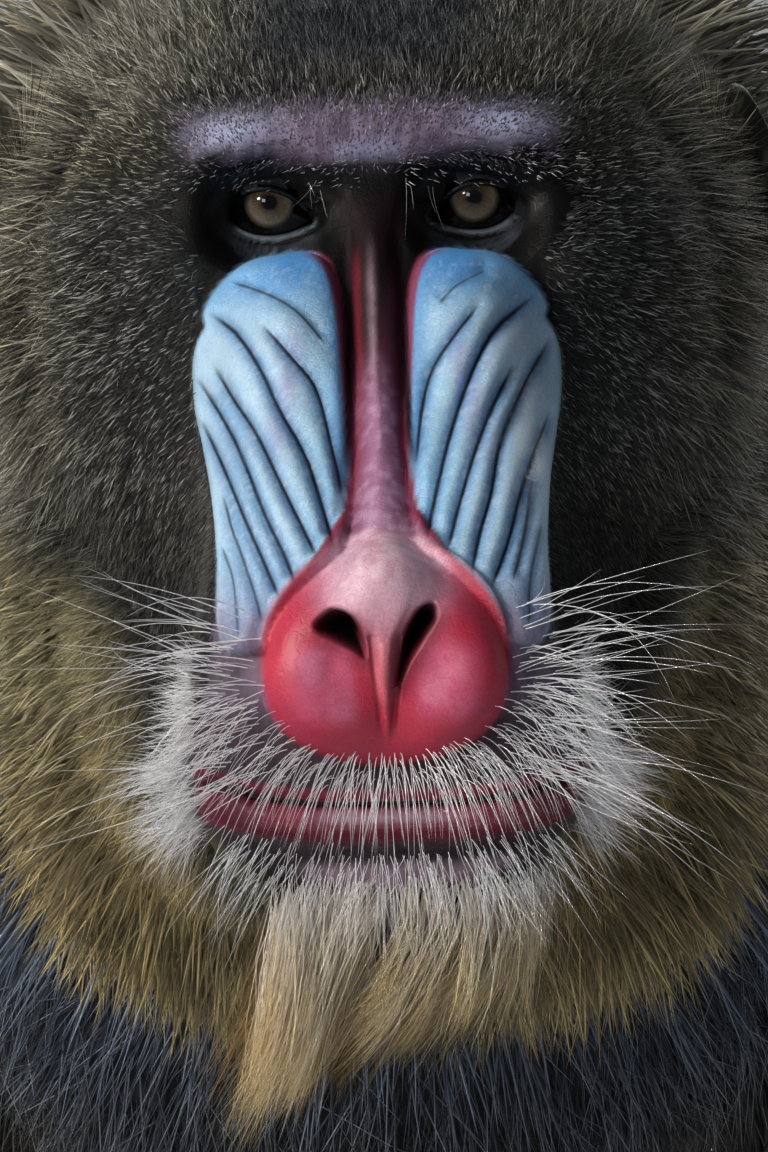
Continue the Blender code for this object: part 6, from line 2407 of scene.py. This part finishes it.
@dataclass
class MuzzleFur:
    """The white fur that fans out from both sides of the muzzle."""

    pelt: Pelt
    count: int = 2000

    def build(self, finish: bpy.types.Material) -> bpy.types.Object:
        """Makes the fur.

        Args:
            finish: Its material.

        Returns:
            The piece.
        """
        rng, head = self.pelt.rng, self.pelt.head
        surface = self.pelt.head_form
        x, y, z = head.local((sum(surface.corner) / 4).reshape(-1, 3)).T
        density = smoothstep(35, 39, np.abs(x)) * smoothstep(-92, -108, z) * smoothstep(-135, -127, z)
        density *= smoothstep(-32, -42, y) * smoothstep(-86, -72, y)
        points, _, patch = surface.scatter(self.count, density.reshape(surface.area.shape), rng)
        roots, normals, _ = self.pelt.on_skin(points, 0.02)
        x, y, z = head.local(roots).T
        side = np.sign(x)
        lock = np.stack([mottle(np.c_[x, y, z], 7.0, 60 + axis) for axis in range(3)], axis=1) - 0.5
        lie = np.stack([side * 1.2, np.full(len(x), 0.10), (z + 112) * 0.026 - 0.04], axis=1) + 0.8 * lock
        lie = head.aim(lie) + rng.normal(0, 0.16, lie.shape)
        length = (8 + 7 * smoothstep(-100, -124, z)) * MM * rng.uniform(0.5, 1.35, len(x))
        lift = np.radians(rng.uniform(28, 62, len(x)))
        bend = (head.aim(np.stack([side * 0.1, np.full(len(x), 0.22), np.full(len(x), -0.14)], axis=1)) + 0.4 * lock) * length[:, None]
        root, tip = Layers(len(x), "#8a858b"), Layers(len(x), "#fbfcff")
        root.paint("#6f676a", smoothstep(-55, -42, y))
        tone = rng.uniform(0.55, 1.1, len(x))[:, None]
        width = rng.uniform(0.11, 0.22, len(x)) * MM
        hairs = Hairs(roots, normals, lie, length, width, lift, bend, np.clip(root.rgb * tone, 0, 1), np.clip(tip.rgb * tone, 0, 1), patch)
        return Coat("muzzle_coat", Cut.STRAND).build(hairs, finish)


@dataclass
class BristleRow:
    """One group of bristles, by place on the face and by direction."""

    count: int
    place: object
    aim: object
    length: tuple
    thickness: float
    curl: float = 0.16
    droop: float = 0.10


@dataclass
class Bristles:
    """White bristles of the lips, muzzle, chin and brow, swept along their paths."""

    pelt: Pelt
    steps: int = 9
    profile_sides: int = 3
    white: str = "#fbfcff"

    def rows(self) -> list[BristleRow]:
        """The groups, from the upper lip round to the brow."""
        level = [z for _, z in MOUTH_LINE]
        across = [x for x, _ in MOUTH_LINE]

        def lip(r: np.random.Generator, n: int) -> np.ndarray:
            """Places over the upper lip."""
            x = r.uniform(-37, 39, n)
            edge = -np.interp(np.abs(x), (0, 12, 18, 23, 30, 38), (117.0, 115.5, 112.5, 107, 102, 101))
            low = np.interp(x, across, level) + 3.5
            return np.stack([x, low + (edge - low) * r.random(n) ** 0.65], axis=1)

        def chin(r: np.random.Generator, n: int) -> np.ndarray:
            """Places under the lower lip."""
            x = r.uniform(-35, 36, n)
            return np.stack([x, np.interp(x, across, level) - 7.5 - 11 * r.random(n)], axis=1)

        def side(s: int, low: float, high: float, near: float, far: float) -> object:
            """Places on one side of the muzzle."""
            return lambda r, n: np.stack([s * r.uniform(near, far, n), r.uniform(low, high, n)], axis=1)

        made = [
            BristleRow(
                340, lip, lambda p: np.stack([p[:, 0] * 0.050, np.full(len(p), -0.75), -0.16 + 0.006 * np.abs(p[:, 0])], axis=1),
                (10, 21), 0.125, 0.10, 0.42),
            BristleRow(
                350, chin, lambda p: np.stack([p[:, 0] * 0.026, np.full(len(p), -0.50), np.full(len(p), -0.85)], axis=1),
                (6, 18), 0.10, 0.15, 0.16),
        ]
        for s in (-1, 1):
            made.append(BristleRow(
                95, side(s, -124, -86, 25, 38),
                lambda p, s=s: np.stack([np.full(len(p), s * 1.0), np.full(len(p), -0.30), (p[:, 1] + 106) * 0.024 - 0.06], axis=1),
                (14, 44), 0.130, 0.17, 0.08))
            made.append(BristleRow(
                110, side(s, 3.4, 9.5, 2, 54),
                lambda p, s=s: np.stack([s * 0.9 + p[:, 0] * 0.012, np.full(len(p), -0.8), np.full(len(p), -0.45)], axis=1), (1.2, 2.8), 0.11, 0.10, 0.0))
            made.append(BristleRow(
                4, side(s, 3.0, 5.5, 7, 14),
                lambda p, s=s: np.stack([np.full(len(p), -s * 0.25), np.full(len(p), -0.4), np.full(len(p), -0.9)], axis=1), (5, 11), 0.040, 0.20, 0.1))
        return made

    def paths(self) -> tuple[np.ndarray, np.ndarray, np.ndarray]:
        """All bristles' paths in world metres, their thickness and their roots' places on the face."""
        rng, head = self.pelt.rng, self.pelt.head
        lines, thick, roots_at = [], [], []
        ahead = Vector(head.aim(np.array((0, 1.0, 0))))
        for row in self.rows():
            places = row.place(rng, row.count)
            starts = head.world(np.stack([places[:, 0], np.full(len(places), -160.0), places[:, 1]], axis=1))
            hits = [self.pelt.tree.ray_cast(Vector(start), ahead) for start in starts]
            met = np.array([hit[0] is not None and hit[3] < 0.22 for hit in hits])
            roots = np.array([hit[0] for hit, ok in zip(hits, met) if ok])
            normals = np.array([hit[1] for hit, ok in zip(hits, met) if ok])
            places = places[met]
            aim = unit(head.aim(row.aim(places)))
            aim = unit(aim + 0.35 * normals + rng.normal(0, row.curl, aim.shape))
            long = rng.uniform(*row.length, len(places)) * MM
            twist = rng.normal(0, row.curl, aim.shape) + np.array((0, 0, -row.droop * 2))
            share = np.linspace(0, 1, self.steps)[None, :, None]
            line = roots[:, None] - normals[:, None] * 0.0006 + (aim[:, None] * share + twist[:, None] * share**2) * long[:, None, None]
            lines.append(line)
            thick.append(row.thickness * MM * rng.uniform(0.6, 1.15, len(places)))
            roots_at.append(places)
        return np.concatenate(lines), np.concatenate(thick), np.concatenate(roots_at)

    def tree(self, finish: bpy.types.Material) -> bpy.types.NodeTree:
        """The nodes that sweep a tapering round section along each path.

        Args:
            finish: The bristles' material.

        Returns:
            The node tree.
        """
        group = bpy.data.node_groups.new("swept_bristles", "GeometryNodeTree")
        group.interface.new_socket("Geometry", in_out="INPUT", socket_type="NodeSocketGeometry")
        sides = group.interface.new_socket("Profile sides", in_out="INPUT", socket_type="NodeSocketInt")
        sides.default_value = self.profile_sides
        group.interface.new_socket("Geometry", in_out="OUTPUT", socket_type="NodeSocketGeometry")
        start = add_node(group, "NodeGroupInput")
        curves = add_node(group, "GeometryNodeMeshToCurve", {}, {"Mesh": start.outputs["Geometry"]})
        named = add_node(group, "GeometryNodeInputNamedAttribute", {"data_type": "FLOAT", "Name": "thickness"})
        sized = add_node(group, "GeometryNodeSetCurveRadius", {}, {"Curve": curves.outputs["Curve"], "Radius": named.outputs["Attribute"]})
        section = add_node(group, "GeometryNodeCurvePrimitiveCircle", {"Radius": 1.0}, {"Resolution": start.outputs["Profile sides"]})
        links = {"Curve": sized.outputs["Curve"], "Profile Curve": section.outputs["Curve"]}
        swept = add_node(group, "GeometryNodeCurveToMesh", {"Fill Caps": True}, links)
        if "Scale" in swept.inputs:
            group.links.new(named.outputs["Attribute"], swept.inputs["Scale"])
        real = add_node(group, "GeometryNodeRealizeInstances", {}, {"Geometry": swept.outputs["Mesh"]})
        dressed = add_node(group, "GeometryNodeSetMaterial", {"Material": finish}, {"Geometry": real.outputs["Geometry"]})
        add_node(group, "NodeGroupOutput", {}, {"Geometry": dressed.outputs["Geometry"]})
        return group

    def build(self, finish: bpy.types.Material) -> bpy.types.Object:
        """Makes the bristles.

        Args:
            finish: Their material.

        Returns:
            The piece.
        """
        lines, thick, places = self.paths()
        count = len(lines)
        mesh = bpy.data.meshes.new("bristles")
        first = (np.arange(count) * self.steps)[:, None] + np.arange(self.steps - 1)[None]
        edges = np.stack([first, first + 1], axis=-1).reshape(-1, 2)
        mesh.from_pydata(lines.reshape(-1, 3).tolist(), edges.tolist(), [])
        made = bpy.data.objects.new("bristles", mesh)
        bpy.context.scene.collection.objects.link(made)
        taper = np.linspace(1, 0, self.steps) ** 0.7 * 0.94 + 0.06
        weigh(made, "thickness", (thick[:, None] * taper[None]).ravel())
        unwrap = np.stack([0.5 + places[:, 0] / 120, 0.5 + (places[:, 1] + 80) / 240], axis=1)
        share = np.linspace(0, 1, self.steps)
        weigh(made, "patch_u", np.repeat(unwrap[:, 0], self.steps))
        weigh(made, "patch_v", (unwrap[:, 1:2] + 0.003 * share[None]).ravel())
        tone = np.repeat(self.pelt.rng.uniform(0.80, 1.05, count), self.steps)[:, None]
        tint(made, "coat", np.clip(linear(self.white)[None] * tone, 0, 1))
        modifier = made.modifiers.new("sweep", "NODES")
        modifier.node_group = self.tree(finish)
        key = next(item.identifier for item in modifier.node_group.interface.items_tree if item.name == "Profile sides")
        modifier[key] = self.profile_sides
        baked_down(made)
        self.unwrap(made)
        return made

    @staticmethod
    def unwrap(target: bpy.types.Object) -> None:
        """Turns the patch numbers of each point into the bristles' unwrap.

        Args:
            target: The bristles.
        """
        mesh = target.data
        values = []
        for name in ("patch_u", "patch_v"):
            flat = np.zeros(len(mesh.vertices), np.float32)
            mesh.attributes[name].data.foreach_get("value", flat)
            values.append(flat)
        corner = np.zeros(len(mesh.loops), np.int32)
        mesh.loops.foreach_get("vertex_index", corner)
        place = np.stack(values, axis=1)[corner]
        place[:, 0] += 0.001 * (corner % 3)
        mesh.uv_layers.new(name="OFBake").data.foreach_set("uv", place.astype(np.float32).ravel())
        for name in ("patch_u", "patch_v", "thickness"):
            if name in mesh.attributes:
                mesh.attributes.remove(mesh.attributes[name])


FLESH = ("head", "neck", "chest", "hips", "tail")
FLESH_PAIRS = ("ear", "rump_pad", "upper_arm", "forearm", "hand", "thigh", "shin", "foot")


def main() -> None:
    """Builds the animal's looks piece by piece and reports each."""
    logging.basicConfig(level=logging.INFO, format="%(name)s %(message)s", force=True)
    bpy.context.scene.view_settings.view_transform = "Standard"
    head = HeadFrame.from_eyes(math.radians(5.0), 0.0085)
    form = HeadForm()
    marks = Markings(head, form)
    Studio().build()
    body = Body()
    forms = body.forms()
    skin_maker = Skin(head, form, marks)
    skin_maker.limbs = list(forms.items())
    skin_maker.limbs += [(f"pad_{i}", Form(rings)) for i, rings in enumerate(body.pads())]
    skin_maker.extremities = {limb.name: limb.extremity() for limb in body.limbs()}
    skin = skin_maker.build()
    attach(skin, "root")
    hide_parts(*FLESH, *(f"{part}_{label}" for part in FLESH_PAIRS for label in SIDES))
    log.info("skin %d triangles", sum(len(p.vertices) - 2 for p in skin.data.polygons))
    for ball, label in zip(Eyes(head, form).build(), SIDES):
        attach(ball, "root")
        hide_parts(f"eye_{label}")
        log.info("%s", ball.name)
    short, long = HairFinish("short_banded_fur").make(), HairFinish("long_guard_hair", 0.5).make()
    ruff = Ruff(head, marks)
    forms["ruff"] = ruff.form()
    under = ruff.build(short)
    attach(under, "root")
    log.info("%s", under.name)
    horn = NailFinish().make()
    nails = join_objects("nails", [ring_object("nail", rings) for limb in body.limbs() for rings in limb.nails()])
    nails.data.materials.append(horn)
    for face in nails.data.polygons:
        face.use_smooth = True
    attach(nails, "root")
    log.info("%s", nails.name)
    pelt = Pelt(skin, head, form, marks, forms)
    pelt.add_ground("ruff", under)
    for tract in head_tracts() + body_tracts(body.limbs()):
        piece = pelt.grow(tract, short if tract.cut is Cut.NEEDLE else long)
        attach(piece, "root")
        log.info("%s %d triangles", piece.name, len(piece.data.polygons))
    # The white bristles glow faintly: painted light that brightens them.
    white = HairFinish("stiff_white_bristle", 0.35, 0.8, 0.14).make()
    for piece in (Beard(pelt).build(long), MuzzleFur(pelt).build(white), Bristles(pelt).build(white)):
        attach(piece, "root")
        log.info("%s %d faces", piece.name, len(piece.data.polygons))


if __name__ == "__main__":
    main()
